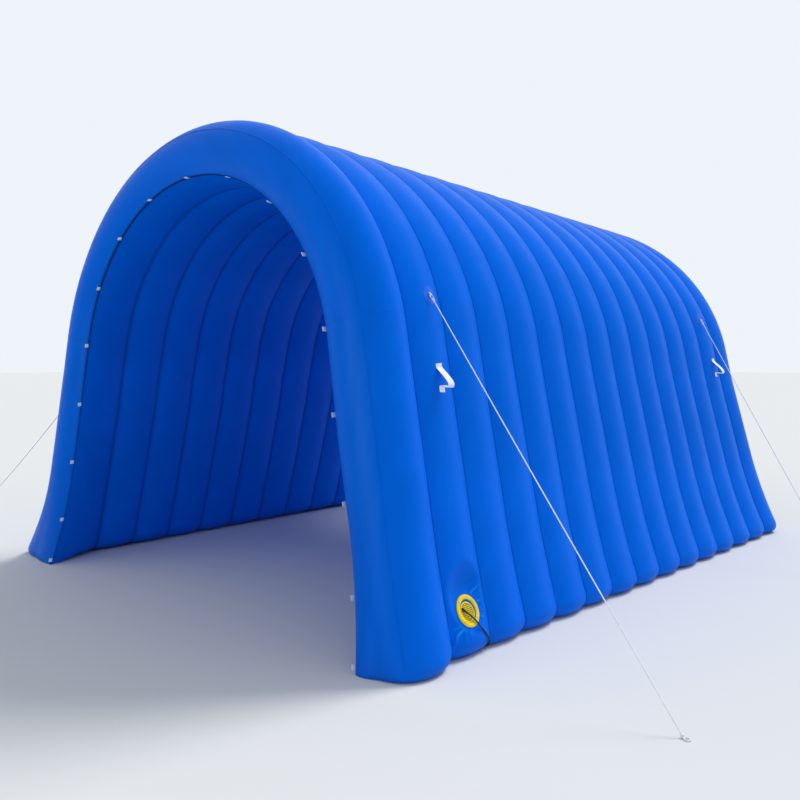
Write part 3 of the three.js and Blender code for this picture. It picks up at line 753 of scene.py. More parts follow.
def chamber_piece(node, y, d, lifts, seams, square=1.0, mouth_line=0.0):
    """One padded chamber: its section swept over the arch, and lifts(lengths, total) on top of that."""
    side, angle, height = STATIONS
    rows = np.broadcast_to(y[:, None], (len(y), len(side)))
    depth = np.broadcast_to(d[:, None], rows.shape)
    plain = arch(side, angle, height, rows, depth)
    lengths = np.cumsum(np.linalg.norm(np.diff(plain, axis=1, prepend=plain[:, :1]), axis=2), axis=1)
    depth = depth + lifts(lengths, lengths[:, -1:])
    points = arch(side, angle, height, *foot_rounding(rows, depth, height, square))
    marks = {
        # dark seam lines, and painted shade in the valleys beside them
        "seam": seam_and_shade_mark(y, d, *seams)[:, None],
        # darker towards the ground: dust and painted shade
        "hem": np.clip(1 - points[:, :, 2] / HEM_HEIGHT, 0, 1),
        "mouth_line": mouth_line * np.clip(points[:, :, 2] / MOUTH_LINE_HEIGHT, 0.3, 1),
        "fold_highlight": 0.0,
    }
    bm = rolled_sheet(points, marks)
    if node == "rib_01":
        seat_the_port(bm)
    piece = finished("cloth_" + node, bm, CLOTH, sharp=38)
    keep(piece, "coated_cloth", node)


def rib_section(number):
    """The closed outline of a rib: skin, baffle, lining, baffle."""
    share = seam_rows(SKIN_ROWS)
    start, end = rib_y(number, 0), rib_y(number, 1)
    skin_y = rib_y(number, share)
    skin_d = skin_depth(share)
    back = np.linspace(OUTER_VALLEY, INNER_VALLEY, BAFFLE_ROWS + 2)[1:-1]
    line_share = seam_rows(LINING_ROWS)[::-1]
    line_y = rib_y(number, line_share)
    line_d = INNER_VALLEY - INNER_SWELL * swell(line_share)
    baffles = [np.full(BAFFLE_ROWS, at) for at in (end, start)]
    y = np.concatenate([skin_y, baffles[0], line_y, baffles[1], skin_y[:1]])
    d = np.concatenate([skin_d, back, line_d, back[::-1], skin_d[:1]])
    return y, d


def back_section():
    points = [(rib_start(RIB_COUNT) + GAP / 2 + past * MM, depth * MM, 0) for past, depth in BACK_OUTLINE]
    line = smooth_line(points, BACK_ROWS)[:, :2]
    back = np.linspace(INNER_VALLEY, OUTER_VALLEY, BAFFLE_ROWS + 2)[1:]
    start = np.full(len(back), line[0, 0])
    return np.append(line[:, 0], start), np.append(line[:, 1], back)


def ring_section():
    """Round from the mouth seam over the front to the first valley, then the baffle and the lining."""
    start = math.atan2(-RING_D, -RING_Y)
    end = math.acos((RING_DEPTH - GAP / 2 - RING_Y) / RING_RADIUS) - 2 * math.pi
    share = (seam_rows(RING_ROWS) + np.linspace(0, 1, RING_ROWS)) / 2
    turns = start + (end - start) * share
    y = RING_Y + RING_RADIUS * np.cos(turns)
    d = RING_D + RING_RADIUS * np.sin(turns)
    back = np.linspace(d[-1], INNER_VALLEY, BAFFLE_ROWS + 2)[1:-1]
    share = seam_rows(RING_LINING_ROWS)[::-1]
    line_y = (RING_DEPTH - GAP / 2) * share
    line_d = INNER_VALLEY * share - RING_SAG * swell(share)
    return np.concatenate([y, np.full(BAFFLE_ROWS, y[-1]), line_y]), np.concatenate([d, back, line_d])


def near_seams(y, d, seams):
    """How far each row of a section lies from the nearest of some seams."""
    return np.min([np.hypot(y - seam_y, d - seam_d) for seam_y, seam_d in seams], axis=0)


def seam_and_shade_mark(y, d, start, end):
    """How dark each row is made near the seams: a thin dark seam line outside, partly painted shade, and a
    broad faint band of painted shade along the valleys inside.
    """
    outer = 1 - near_seams(y, d, [(start, OUTER_VALLEY), (end, OUTER_VALLEY)]) / SEAM_WIDTH
    inner = 1 - near_seams(y, d, [(start, INNER_VALLEY), (end, INNER_VALLEY)]) / INNER_SEAM_WIDTH
    return np.clip(np.maximum(outer, INNER_SEAM_SHADE * inner), 0, 1)


def crumple(lengths, rows, number, size):
    """Slow uneven swelling of a whole skin, from waves that cross each other."""
    stream = np.random.default_rng(SEED + 100 + number)
    total = np.zeros(np.broadcast_shapes(lengths.shape, rows.shape))
    for _ in range(CRUMPLE_WAVES):
        along, across = stream.uniform(*CRUMPLE_TURNS, 2)
        turn, slant = stream.uniform(0, 2 * math.pi, 2)
        total += np.sin(along * lengths + across * rows * np.sin(slant) + turn)
    return size * total / CRUMPLE_WAVES


def rib_piece(number):
    y, d = rib_section(number)
    start, end = rib_y(number, 0), rib_y(number, 1)
    skin = np.arange(len(y)) < SKIN_ROWS
    past_skin = np.arange(len(y)) - SKIN_ROWS - BAFFLE_ROWS
    lining = (past_skin >= 0) & (past_skin < LINING_ROWS)

    def lifts(lengths, total):
        low = slackness(lengths, total)
        lift = np.zeros_like(lengths)
        from_start, from_end = (y - start)[:, None], (end - y)[:, None]
        both = pucker(number, lengths, from_start, low) + pucker(number + 1, lengths, from_end, low)
        bulge = swell(from_start / RIB_PITCH)
        swing = crumple(lengths, from_start, number, RIB_CRUMPLE) * (0.25 + low) * bulge
        fill = crown_fill(lengths, total) * (1 - bulge)
        lift[skin] = (both + swing + fill)[skin]
        inner = pucker(number + LINING_DRAWS, lengths, from_start, low)
        inner = inner + pucker(number + LINING_DRAWS + 1, lengths, from_end, low)
        lift[lining] = -(inner + swing)[lining]
        return lift

    chamber_piece(f"rib_{number:02d}", y, d, lifts, (start, end))


def last_rib_piece():
    y, d = back_section()
    start = y[0]

    def lifts(lengths, total):
        low = slackness(lengths, total)
        outer = (d > 0.5 * OUTER_VALLEY)[:, None]
        from_start = np.maximum(y - start, 0)[:, None]
        gather = pucker(RIB_COUNT, lengths, from_start, low)
        inner = -pucker(RIB_COUNT + LINING_DRAWS, lengths, from_start, low)
        fill = crown_fill(lengths, total) * np.clip(1 - from_start / (0.5 * RIB_PITCH), 0, 1) ** 2
        return np.where(outer, gather + fill, np.where(from_start > 0, inner, 0))

    chamber_piece(f"rib_{RIB_COUNT}", y, d, lifts, (start, start))


def ring_piece():
    y, d = ring_section()
    from_mouth = np.hypot(y, d)[:, None]
    from_valley = np.hypot(y - RING_DEPTH, d - OUTER_VALLEY)[:, None]
    front = np.arange(len(y)) < RING_ROWS

    def lifts(lengths, total):
        low = slackness(lengths, total)
        lift = pucker(0, lengths, from_mouth, low) * 0.6 - pucker(1, lengths, from_valley, low) * 0.8
        swing = crumple(lengths, np.arange(len(y))[:, None] * 15 * MM, 0, RING_CRUMPLE) * (0.2 + low)
        swing = swing * np.clip(from_mouth / 0.1, 0, 1) * np.clip(from_valley / 0.1, 0, 1)
        away = np.sign(d - RING_D)[:, None]
        fill = crown_fill(lengths, total) * np.clip(1 - from_valley / (0.4 * RIB_PITCH), 0, 1) ** 2
        return np.where(front[:, None], (lift * 0.5 + swing) * away + fill, 0)

    square = np.clip(from_mouth / RING_D - 0.1, 0, 1)
    # the dark line along the mouth seam
    mouth_line = np.clip(1.6 - from_mouth / MOUTH_LINE_WIDTH, 0, 1)
    chamber_piece("mouth_ring", y, d, lifts, (RING_DEPTH, RING_DEPTH), square, mouth_line)


def seat_the_port(bm):
    """Fine cloth round the port, held flat behind it, with folds that radiate from there, their ridges
    marked for a painted highlight.
    """

    def near(vert, reach):
        away = vert.co - PORT_HERE
        return away.length < reach and away.dot(PORT_OUT) > -FRONT_DEPTH

    for reach in (PORT_CLOTH, 0.85 * PORT_CLOTH):
        edges = [edge for edge in bm.edges if all(near(vert, reach) for vert in edge.verts)]
        bmesh.ops.subdivide_edges(bm, edges=edges, cuts=1, use_grid_fill=True)
    cloth = [vert for vert in bm.verts if near(vert, PORT_CLOTH)]
    moves, folds = port_moves([vert.co for vert in cloth])
    fold_highlight = bm.verts.layers.float["fold_highlight"]
    for vert, move, fold in zip(cloth, moves, folds):
        vert.co += PORT_OUT * (move + fold)
        # the fold's height sets how strong its painted highlight is
        vert[fold_highlight] = min(1, max(0, (fold - FOLD_HIGHLIGHT_START) / (FOLD_HIGHLIGHT_DEPTH - FOLD_HIGHLIGHT_START)))


def port_moves(points):
    """How far places on the skin move in or out for the port's seat, and for the folds round it."""
    away = np.array([point - PORT_HERE for point in points])
    lift = away @ np.array(PORT_OUT)
    across = away @ np.array(ALONG_ROW)
    up = away @ np.array(PORT_UP)
    reach = np.hypot(across, up)
    slope = PORT_SLOPE + PORT_LEAN * np.clip(up / np.maximum(reach, 1e-6), 0, 1) ** 2
    held = eased(np.clip((slope - reach) / (slope - PORT_SEAT), 0, 1))
    seat = -SEAT_CUT - 0.2 * MM
    return (np.minimum(lift, seat) - lift) * held, port_folds(across, up, reach)


def port_folds(across, up, reach):
    """Ridges that run out from the port's rim, sharpest near it, with faint troughs beside them."""
    turn = np.degrees(np.arctan2(up, across))
    total = np.zeros_like(reach)
    for middle, width, length, height in PORT_FOLDS:
        bent = middle + FOLD_BEND * np.sin(0.06 * (reach - PORT_SEAT) / MM + middle)
        off = (turn - bent + 180) % 360 - 180
        ridge = np.exp(-((off / width) ** 2)) - 0.35 * np.exp(-((off / (2.4 * width)) ** 2))
        far = np.clip((reach - PORT_SEAT) / (length * MM), 0, 1)
        total += height * MM * ridge * np.sin(math.pi * np.sqrt(far)) ** 2
    return total


# ---- The camera, the light and the floor ------------------------------------------------------

LENS = 38.39
FILM_WIDTH = 36
FILM_SHIFT = -0.125
EYE = (4.600, -5.331, 1.5447)
EYE_TILT = 3.404  # degrees up from level
EYE_TURN = 42.19
SKY = (0.88, 0.94, 1.0, 1)
SKY_STRENGTH = 0.68
BACKDROP = (0.86, 0.90, 0.95, 1)
FLOOR_GREY = (0.73, 0.73, 0.72)
FLOOR_RADIUS = 60
KEY = {"place": (2.4, 7.6, 9.2), "target": (0.6, 0.2, 0.0), "spread": 24, "strength": 2.1}
STRIP = {"place": (0.9, -11.4, 2.2), "target": (0.9, -2.3, 1.3), "size": (1.6, 4.4), "power": 800}


def add_camera():
    data = bpy.data.cameras.new("view")
    data.lens = LENS
    data.sensor_width = FILM_WIDTH
    data.shift_y = FILM_SHIFT
    data.clip_end = 200
    camera = bpy.data.objects.new("view", data)
    camera.location = EYE
    camera.rotation_euler = (math.radians(90 + EYE_TILT), 0, math.radians(EYE_TURN))
    bpy.context.scene.collection.objects.link(camera)
    bpy.context.scene.camera = camera


def add_sun(name, place, target, spread, strength):
    """An even light from one side, whose own reflection is left out, so that it makes no hot spots."""
    data = bpy.data.lights.new(name, "SUN")
    data.angle = math.radians(spread)
    data.energy = strength
    aimed(name, data, place, target).visible_glossy = False


def add_strip(name, place, target, size, power):
    """A tall soft lamp that only shows as a sheen on glossy cloth."""
    data = bpy.data.lights.new(name, "AREA")
    data.shape = "RECTANGLE"
    data.size, data.size_y = size
    data.energy = power
    aimed(name, data, place, target).visible_diffuse = False


def aimed(name, data, place, target):
    lamp = bpy.data.objects.new(name, data)
    lamp.location = place
    lamp.rotation_euler = (Vector(target) - Vector(place)).to_track_quat("-Z", "Y").to_euler()
    bpy.context.scene.collection.objects.link(lamp)
    return lamp


def add_world():
    """Even light from all round. The camera and gloss see a paler backdrop instead."""
    world = bpy.data.worlds.new("studio")
    world.use_nodes = True
    tree = world.node_tree
    light = tree.nodes["Background"]
    light.inputs["Color"].default_value = SKY
    light.inputs["Strength"].default_value = SKY_STRENGTH
    backdrop = tree.nodes.new("ShaderNodeBackground")
    backdrop.inputs["Color"].default_value = BACKDROP
    path = tree.nodes.new("ShaderNodeLightPath")
    seen = light.outputs[0]
    for ray in ("Is Camera Ray", "Is Glossy Ray", "Is Transmission Ray"):
        mix = tree.nodes.new("ShaderNodeMixShader")
        tree.links.new(path.outputs[ray], mix.inputs[0])
        tree.links.new(seen, mix.inputs[1])
        tree.links.new(backdrop.outputs[0], mix.inputs[2])
        seen = mix.outputs[0]
    tree.links.new(seen, tree.nodes["World Output"].inputs["Surface"])
    bpy.context.scene.world = world


def add_floor():
    bm = bmesh.new()
    bmesh.ops.create_circle(bm, cap_ends=True, radius=FLOOR_RADIUS, segments=96)
    bmesh.ops.translate(bm, verts=bm.verts, vec=(0, 0, -1 * MM))
    pale = Finish("floor", FLOOR_GREY, 0.9, Specular_IOR_Level=0.0)
    floor = finished("floor", bm, pale.material, smooth=False)


add_camera()
add_world()
add_floor()
add_sun("rear_key", **KEY)
add_strip("front_strip", **STRIP)
bpy.context.scene.view_settings.view_transform = "Standard"

ring_piece()
for number in range(1, RIB_COUNT):
    rib_piece(number)
last_rib_piece()

# ---- Seam tapes on the ring and over the port --------------------------------------------------

TAPE_WIDTH = 15 * MM
TAPE_THICK = 0.6 * MM
LONG_SEAM = math.radians(138)  # round the ring's section, from its back over its crest
RING_JOINTS = [("right", 1.0, math.radians(12.7)), ("left", -1.0, math.radians(10.4))]
RING_JOINT_TURNS = (222, 46)  # degrees round the ring's section
PORT_SEAM_HEIGHT = 362 * MM


def tape_piece(name, line, across):
    marks = {"seam": 0.05, "hem": 0.0, "mouth_line": 0.0, "fold_highlight": 0.0}
    keep(strap_piece(name, line, TAPE_WIDTH, TAPE_THICK, across, CLOTH, marks), "coated_cloth")


def ring_place(turn, lift=0.0):
    """Where the ring's section lies at one turn round it, as y and d."""
    reach = RING_RADIUS + lift
    return RING_Y + reach * math.cos(turn), RING_D + reach * math.sin(turn)


def ring_tapes():
    side, angle, height = STATIONS
    high = ~(height < RING_ROUND)
    y, d = ring_place(LONG_SEAM)
    line = arch(side[high], angle[high], height[high], y, d)
    start = Vector(arch(side[high][0], angle[high][0], height[high][0], *ring_place(LONG_SEAM - 0.05)))
    tape_piece("tape_ring_long", even_line(line, 360), start - Vector(line[0]))
    for name, way, turn in RING_JOINTS:
        turns = np.radians(np.linspace(*RING_JOINT_TURNS, 60))
        line = [arch(way, turn, math.nan, *ring_place(each)) for each in turns]
        beside = Vector(arch(way, turn + 0.02, math.nan, *ring_place(turns[0])))
        tape_piece(f"tape_ring_{name}", line, beside - Vector(line[0]))


def port_tape():
    shares = np.linspace(0.06, 0.94, 40)
    line = [arch(1.0, LEG_ANGLE, PORT_SEAM_HEIGHT, rib_y(1, share), skin_depth(share)) for share in shares]
    moves, _ = port_moves([Vector(point) for point in line])
    line = np.array(line) + moves[:, None] * np.array(PORT_OUT)
    tape_piece("tape_port", line, (0, 0, 1))


ring_tapes()
port_tape()

# ---- Tabs round the mouth and handles on the walls ---------------------------------------------

ANCHORS = {"mouth": (1, 0.64, 1850 * MM), "back": (13, 0.38, 1806 * MM)}  # rib, share of it, height
TAB_COUNT = 17
TAB_WIDTH = 25 * MM
TAB_REACH = 26
TAB_END_SHARE = 0.78
TAB_FOOT = 34 * MM
TAB_DRIFT = 60 * MM
TAB_THICK = 1.3 * MM
TAB_CURLS = (-2.2, 1.2)
TAB_LEAN = 0.07
# A tab's line out from the seam and back, as reach and lift in millimetres.
TAB_LINE = [(0.4, 0.9), (8, 0.9), (16, 1.0), (22, 1.2), (24.8, 2.0)]
TAB_LINE += [(22, 2.8), (16, 2.9), (8, 2.7), (0.4, 2.6)]
HANDLE_TOP = 1477 * MM
HANDLE_WIDTH = 50 * MM
HANDLE_THICK = 2.4 * MM
HANDLE_SHARES = {"mouth": 0.58, "back": 0.5}
HANDLE_REACH = 156 * MM
HANDLE_LINE = [  # out of the cloth and down it, in millimetres
    (0, 0),
    (0, 22),
    (12, 40),
    (34, 68),
    (55, 98),
    (64, 119),
    (59, 135),
    (42, 135),
    (21, 124),
    (5, 120),
    (0, 130),
    (0, 156),
]
HANDLE_SLIDE = 3.5  # how far its slack middle hangs to one side
HANDLE_SEWN = ((3, 19), (136, 153))  # the sewn boxes' ends, down the handle
SEWN_WIDTH = HANDLE_WIDTH / MM - 6
STITCH = (1.5 * MM, 0.45 * MM, 0.35 * MM)
STITCH_SPACING = 3.4
BOX_ROWS = ((0, 1), (1, 2), (2, 3), (3, 0), (0, 2), (1, 3))  # the corners that each row of stitches joins


def tab_pieces():
    """Short folded straps that stand out in front of the mouth seam."""
    stream = np.random.default_rng(SEED + 300)
    line = arch(*FINE_STATIONS, 0.0, 0.0)
    lengths = lengths_along(line)
    total = lengths[-1]
    pitch = total / (TAB_COUNT - 3 + 2 * TAB_END_SHARE)
    for i in range(TAB_COUNT):
        even = min(max((i - 1 + TAB_END_SHARE) * pitch, TAB_FOOT), total - TAB_FOOT)
        at = even - TAB_DRIFT * math.sin(math.pi * (even - TAB_FOOT) / (total - 2 * TAB_FOOT))
        before = along_walk(line, lengths, at - TAB_WIDTH / 2)
        after = along_walk(line, lengths, at + TAB_WIDTH / 2)
        along = (after - before).normalized()
        forward = squared(Vector((0, -1, 0)), along)
        inward = along.cross(forward)
        curl = stream.uniform(*TAB_CURLS)
        lean = stream.uniform(-TAB_LEAN, TAB_LEAN)
        middle = before.lerp(after, 0.5)
        points = []
        for reach, lift in TAB_LINE:
            bent = lift + curl * (reach / TAB_REACH) ** 2
            points.append(middle + (forward * reach + inward * bent + along * lean * reach) * MM)
        name = f"mouth_tab_{i + 1:02d}"
        fold = smooth_line(points, 44)
        tab = strap_piece("tab_" + name, fold, TAB_WIDTH, TAB_THICK, along, WEBBING)
        keep(tab, "white_webbing", name)


def handle_frame(end, side):
    y = rib_y(ANCHORS[end][0], HANDLE_SHARES[end])
    depth = skin_depth(HANDLE_SHARES[end])
    top = on_skin(side, HANDLE_TOP, y, depth)
    foot = on_skin(side, HANDLE_TOP - HANDLE_REACH, y, depth)
    down = (foot - top).normalized()
    out = (down.cross(ALONG_ROW) * side).normalized()
    return top, down, out


def handle_piece(end, side):
    """A slack strap, sewn flat at both ends, whose middle hangs away from the wall."""
    top, down, out = handle_frame(end, side)
    points = []
    for i, (reach, drop) in enumerate(HANDLE_LINE):
        before = Vector(HANDLE_LINE[max(0, i - 1)])
        after = Vector(HANDLE_LINE[min(len(HANDLE_LINE) - 1, i + 1)])
        way = (after - before).normalized()
        middle = Vector((reach, drop)) + Vector((way.y, -way.x)) * HANDLE_THICK / 2 / MM
        slide = HANDLE_SLIDE * math.sin(math.pi * i / (len(HANDLE_LINE) - 1))
        points.append(top + out * (middle.x * MM + GAP) + down * middle.y * MM + ALONG_ROW * slide * MM)
    way = "right" if side > 0 else "left"
    name = f"handle_{end}_{way}"
    line = smooth_line(points, 110)
    strap = strap_piece("strap_" + name, line, HANDLE_WIDTH, HANDLE_THICK * 0.85, ALONG_ROW, WEBBING)
    keep(strap, "white_webbing", name)
    stitches = bmesh.new()
    face = top + out * (GAP + HANDLE_THICK * 0.93)
    for first, last in HANDLE_SEWN:
        for spot, turn in box_stitches(first, last):
            place = face + down * spot[0] * MM + ALONG_ROW * spot[1] * MM
            add_stitch(stitches, place, Matrix((down, ALONG_ROW, out)).transposed(), turn)
    keep(finished(f"stitching_{end}_{way}", stitches, THREAD), "white_webbing")


def box_stitches(first, last):
    """A sewn box with a cross in it: each stitch's place down and across, and its turn."""
    half = SEWN_WIDTH / 2
    corners = [(first, -half), (first, half), (last, half), (last, -half)]
    for a, b in BOX_ROWS:
        start, end = Vector(corners[a]), Vector(corners[b])
        count = max(2, round((end - start).length / STITCH_SPACING))
        turn = math.atan2(end.y - start.y, end.x - start.x)
        for i in range(count):
            yield start.lerp(end, (i + 0.5) / count), turn


def add_stitch(bm, place, frame, turn):
    bead = bmesh.ops.create_icosphere(bm, subdivisions=1, radius=1)["verts"]
    bmesh.ops.scale(bm, verts=bead, vec=STITCH)
    rotate(bm, bead, turn, "Z")
    bmesh.ops.transform(bm, verts=bead, matrix=Matrix.Translation(place) @ frame.to_4x4())


tab_pieces()
for end in ("mouth", "back"):
    for side in (1, -1):
        handle_piece(end, side)

# ---- Guy ropes, with their patches, rings and knots -------------------------------------------

PATCH_RADIUS = 54 * MM
PATCH_THICK = 2 * MM
PATCH_STEPS = (0.9, 4.1, 3.5, 6, 8, 9, 9)  # from one ring of its mesh to the next, inwards
KEEPER_WIDTH = 11 * MM
KEEPER_THICK = 1.3 * MM
EYE_LIFT = GAP + PATCH_THICK + 4.7 * MM
GUY_RING_RADIUS = 14 * MM
GUY_RING_WIRE = 2.5 * MM
ROPE_DIAMETER = 6 * MM
ROPE_LENGTH = 2350 * MM
LOOP_RADIUS = 14 * MM
LOOP_WIRE = 3 * MM
ROPE_LAY = 26 * MM  # one turn of its strands
ROPE_STEP = 3.5 * MM
KNOT = 9 * MM
KNOT_LENGTH = 12 * MM
KNOT_TURNS = 3
HITCH_TURNS = 3.2
HITCH_LENGTH = 20 * MM
HITCH_ROPE = 2.4 * MM  # the radius of its turns, a little less than the rope's
GUYS = [  # name, end, side, degrees forward, sag
    ("mouth_right", "mouth", 1, 8, 3 * MM),
    ("mouth_left", "mouth", -1, 38, 90 * MM),
    ("back_right", "back", 1, 33, 3 * MM),
    ("back_left", "back", -1, -20, 3 * MM),
]


def guy_line(end, side, forward):
    """The patch's eye, the knot on the ground, the way between them and the way out of the patch."""
    rib, share, height = ANCHORS[end]
    y = rib_y(rib, share)
    depth = skin_depth(share)
    here = on_skin(side, height, y, depth)
    up = (on_skin(side, height, y, depth, 5 * MM) - on_skin(side, height, y, depth, -5 * MM)).normalized()
    out = (ALONG_ROW.cross(up) * side).normalized()
    eye = here + out * EYE_LIFT
    drop = eye.z - KNOT
    reach = math.sqrt((ROPE_LENGTH + 2 * GUY_RING_RADIUS) ** 2 - drop**2)
    turn = math.radians(forward)
    ground = Vector((eye.x + side * reach * math.cos(turn), eye.y - reach * math.sin(turn), KNOT))
    along = (ground - eye).normalized()
    return eye, ground, along, out


def strand_section(radius, pitch, length, phase=0.0):
    """Three laid strands that wind round as the rope runs."""
    turns = np.linspace(0, 2 * math.pi, 19)

    def section(share):
        wind = 2 * math.pi * share * length / pitch + phase
        reach = radius * (0.93 + 0.07 * np.cos(3 * (turns - wind)))
        return np.stack([reach * np.cos(turns), reach * np.sin(turns)], axis=-1)

    return section


def rope_mesh(line, radius=ROPE_DIAMETER / 2):
    length = lengths_along(line)[-1]
    count = max(24, round(length / ROPE_STEP))
    return rolled_sheet(swept(even_line(line, count), strand_section(radius, ROPE_LAY, length)))


def guy_rope_line(eye, ground, along, sag):
    start = eye + along * (2 * GUY_RING_RADIUS + GUY_RING_WIRE + GAP)
    end = ground - along * (KNOT + GAP)
    points = []
    for share in np.linspace(0, 1, 40):
        point = start.lerp(end, share)
        point.z -= 4 * sag * share * (1 - share)
        points.append(point)
    return np.array(points)


def round_wire(name, centre, across, up, radius, wire, finish):
    """A closed ring of round wire that lies along across and up."""
    bm = bmesh.new()
    rim = bmesh.ops.create_circle(bm, radius=wire, segments=14)
    rotate(bm, rim["verts"], math.pi / 2, "X")
    bmesh.ops.translate(bm, verts=rim["verts"], vec=(radius, 0, 0))
    spun(bm, bm.edges[:], 48)
    turn = Matrix((across, up, across.cross(up))).transposed().to_4x4()
    bmesh.ops.transform(bm, matrix=Matrix.Translation(centre) @ turn, verts=bm.verts)
    return finished(name, bm, finish)


def patch_piece(name, end, side):
    """A round patch that follows the rib, thin at its welded rim and a little puffed inside it."""
    rib, share, height = ANCHORS[end]
    bm = bmesh.new()
    bmesh.ops.create_circle(bm, cap_ends=True, radius=PATCH_RADIUS, segments=56)
    face = bm.faces[:]
    for step in PATCH_STEPS:
        bmesh.ops.inset_region(bm, faces=face, thickness=step * MM, use_even_offset=False)
    bmesh.ops.poke(bm, faces=face)
    for vert in bm.verts:
        y = rib_y(rib, share) + vert.co.x
        place = (y - rib_start(rib)) / RIB_PITCH
        depth = skin_depth(place) + GAP + patch_rise(vert.co.length)
        vert.co = on_skin(side, height, y, depth, vert.co.y)
    under = bmesh.ops.extrude_face_region(bm, geom=bm.faces[:], use_keep_orig=True)
    sunk = [item for item in under["geom"] if isinstance(item, bmesh.types.BMVert)]
    bmesh.ops.translate(bm, verts=sunk, vec=(-0.9 * side * MM, 0, 0))
    bmesh.ops.recalc_face_normals(bm, faces=bm.faces)
    return finished(name, bm, PATCH, sharp=50)


def patch_rise(radius):
    """How proud the patch stands at a distance from its middle: a groove marks its weld."""
    share = radius / PATCH_RADIUS
    groove = math.exp(-(((share - 0.91) / 0.025) ** 2))
    return (0.9 + 1.1 * min(1, (1 - share) * 14) - 0.7 * groove) * MM


def keeper_piece(name, eye, along, out):
    """The short strap that holds the ring's wire down on the patch."""
    across = squared(ALONG_ROW, along)
    flat = squared(out, across)
    length = across.cross(flat)
    half = [(4.4, 4.2), (6.4, 0.6), (9, -3.2), (15, -3.6)]
    shape = [(-a, b) for a, b in reversed(half)] + [(0, 6.2)] + half
    points = [eye + length * a * MM + flat * b * MM for a, b in shape]
    return strap_piece(name, smooth_line(points, 40), KEEPER_WIDTH, KEEPER_THICK, across, WEBBING)


def hitch_piece(name, eye, along):
    """The rope's turns round the ring's far side and round itself."""
    side = along.cross(Vector((0, 0, 1))).normalized()
    square = along.cross(side)
    top = eye + along * 2 * GUY_RING_RADIUS
    points = []
    for share in np.linspace(0, 1, 60):
        turn = 2 * math.pi * HITCH_TURNS * share
        reach = (5.6 - 0.9 * share) * MM
        away = side * math.cos(turn) + square * math.sin(turn)
        points.append(top + along * (3 * MM + HITCH_LENGTH * share) + away * reach)
    return finished(name, rope_mesh(np.array(points), HITCH_ROPE), ROPE)


def loop_piece(name, ground, along):
    """The rope's far end: a stopper knot, and an eye that lies on the ground."""
    level = Vector((along.x, along.y, 0)).normalized()
    side = Vector((-level.y, level.x, 0))
    knot = []
    for share in np.linspace(0, 1, 72):
        turn = 2 * math.pi * KNOT_TURNS * share
        reach = (4.9 + 0.6 * math.sin(math.pi * share)) * MM
        spot = ground + level * (share - 0.5) * KNOT_LENGTH
        knot.append(spot + (side * math.cos(turn) + Vector((0, 0, math.sin(turn)))) * reach)
    lay = []
    centre = Vector((ground.x, ground.y, LOOP_WIRE)) + level * (KNOT + LOOP_RADIUS - 2 * MM)
    for turn in np.linspace(0, 2 * math.pi, 49):
        reach = LOOP_RADIUS * (1 + 0.12 * math.cos(turn))
        lift = 1.2 * MM * max(0, -math.cos(turn))
        round_eye = level * math.cos(turn) + side * 0.86 * math.sin(turn)
        lay.append(centre + round_eye * reach + Vector((0, 0, lift)))
    bm = rope_mesh(np.array(knot))
    merge(bm, rope_mesh(np.array(lay)))
    return finished(name, bm, ROPE)


for name, end, side, forward, sag in GUYS:
    eye, ground, along, out = guy_line(end, side, forward)
    across = squared(ALONG_ROW, along)
    line = guy_rope_line(eye, ground, along, sag)
    rope = keep(finished("rope_" + name, rope_mesh(line), ROPE), "white_rope", "guy_rope_" + name)
    hitch = keep(hitch_piece("hitch_" + name, eye, along), "white_rope")
    loop = keep(loop_piece("loop_" + name, ground, along), "white_rope", "guy_loop_" + name)
    keep(patch_piece("patch_" + name, end, side), "patch_cloth", "guy_patch_" + name)
    keep(keeper_piece("keeper_" + name, eye, along, out), "white_webbing")
    ring_centre = eye + along * GUY_RING_RADIUS
    ring = round_wire("ring_" + name, ring_centre, along, across, GUY_RING_RADIUS, GUY_RING_WIRE, STEEL)
    keep(ring, "steel", "guy_ring_" + name)

# ---- The blower port and its cable ------------------------------------------------------------


def in_row(x, y, z):
    """Millimetres from the mouth seam's middle, as metres in the row."""
    return Vector((x * MM - CENTRE_X, y * MM - CENTRE_Y, z * MM))


def over_grille(reach, rise):
    """A place on the gland's axis, so far past its end, lifted a little from it."""
    across, up = GLAND_START + GLAND_WAY * (GLAND_LENGTH + GAP / MM + reach)
    return on_port(GLAND_LIFT + GLAND_RADIUS + rise, across, up)


def cable_points():
    over = (PORT_THICK + CABLE_DIAMETER / 2) / MM + 2
    valley = rib_start(2) / MM
    return [
        over_grille(0, 0),
        over_grille(8, 0.1),
        over_grille(20, 0.6),
        over_grille(34, 1.6),
        on_port(over - 1.4, 5, -33),
        on_port(over - 0.2, 19, -52),
        on_port(over, 30, -70),
        on_port(over - 1, 40, -86),
        in_row(1857, 512, 131),
        in_row(1858, 541, 103),
        in_row(1855, 573, 69),
        in_row(1841, valley - 14, 35),
        in_row(1816, valley - 2, 11),
        in_row(1800, valley, 6),
        in_row(1780, valley, CABLE_Z),
        in_row(1740, valley, CABLE_Z),
        in_row(1690, valley, CABLE_Z),
        in_row(1590, valley, CABLE_Z),
        in_row(1500, valley + 10, CABLE_Z),
        in_row(1430, valley + 42, CABLE_Z),
        in_row(1384, valley + 96, CABLE_Z),
        in_row(1359, valley + 160, CABLE_Z),
        in_row(COIL_X + COIL_SIDE + 0.5, COIL_Y - 28, CABLE_Z),
        in_row(COIL_X + COIL_SIDE, COIL_Y, CABLE_Z),
    ]


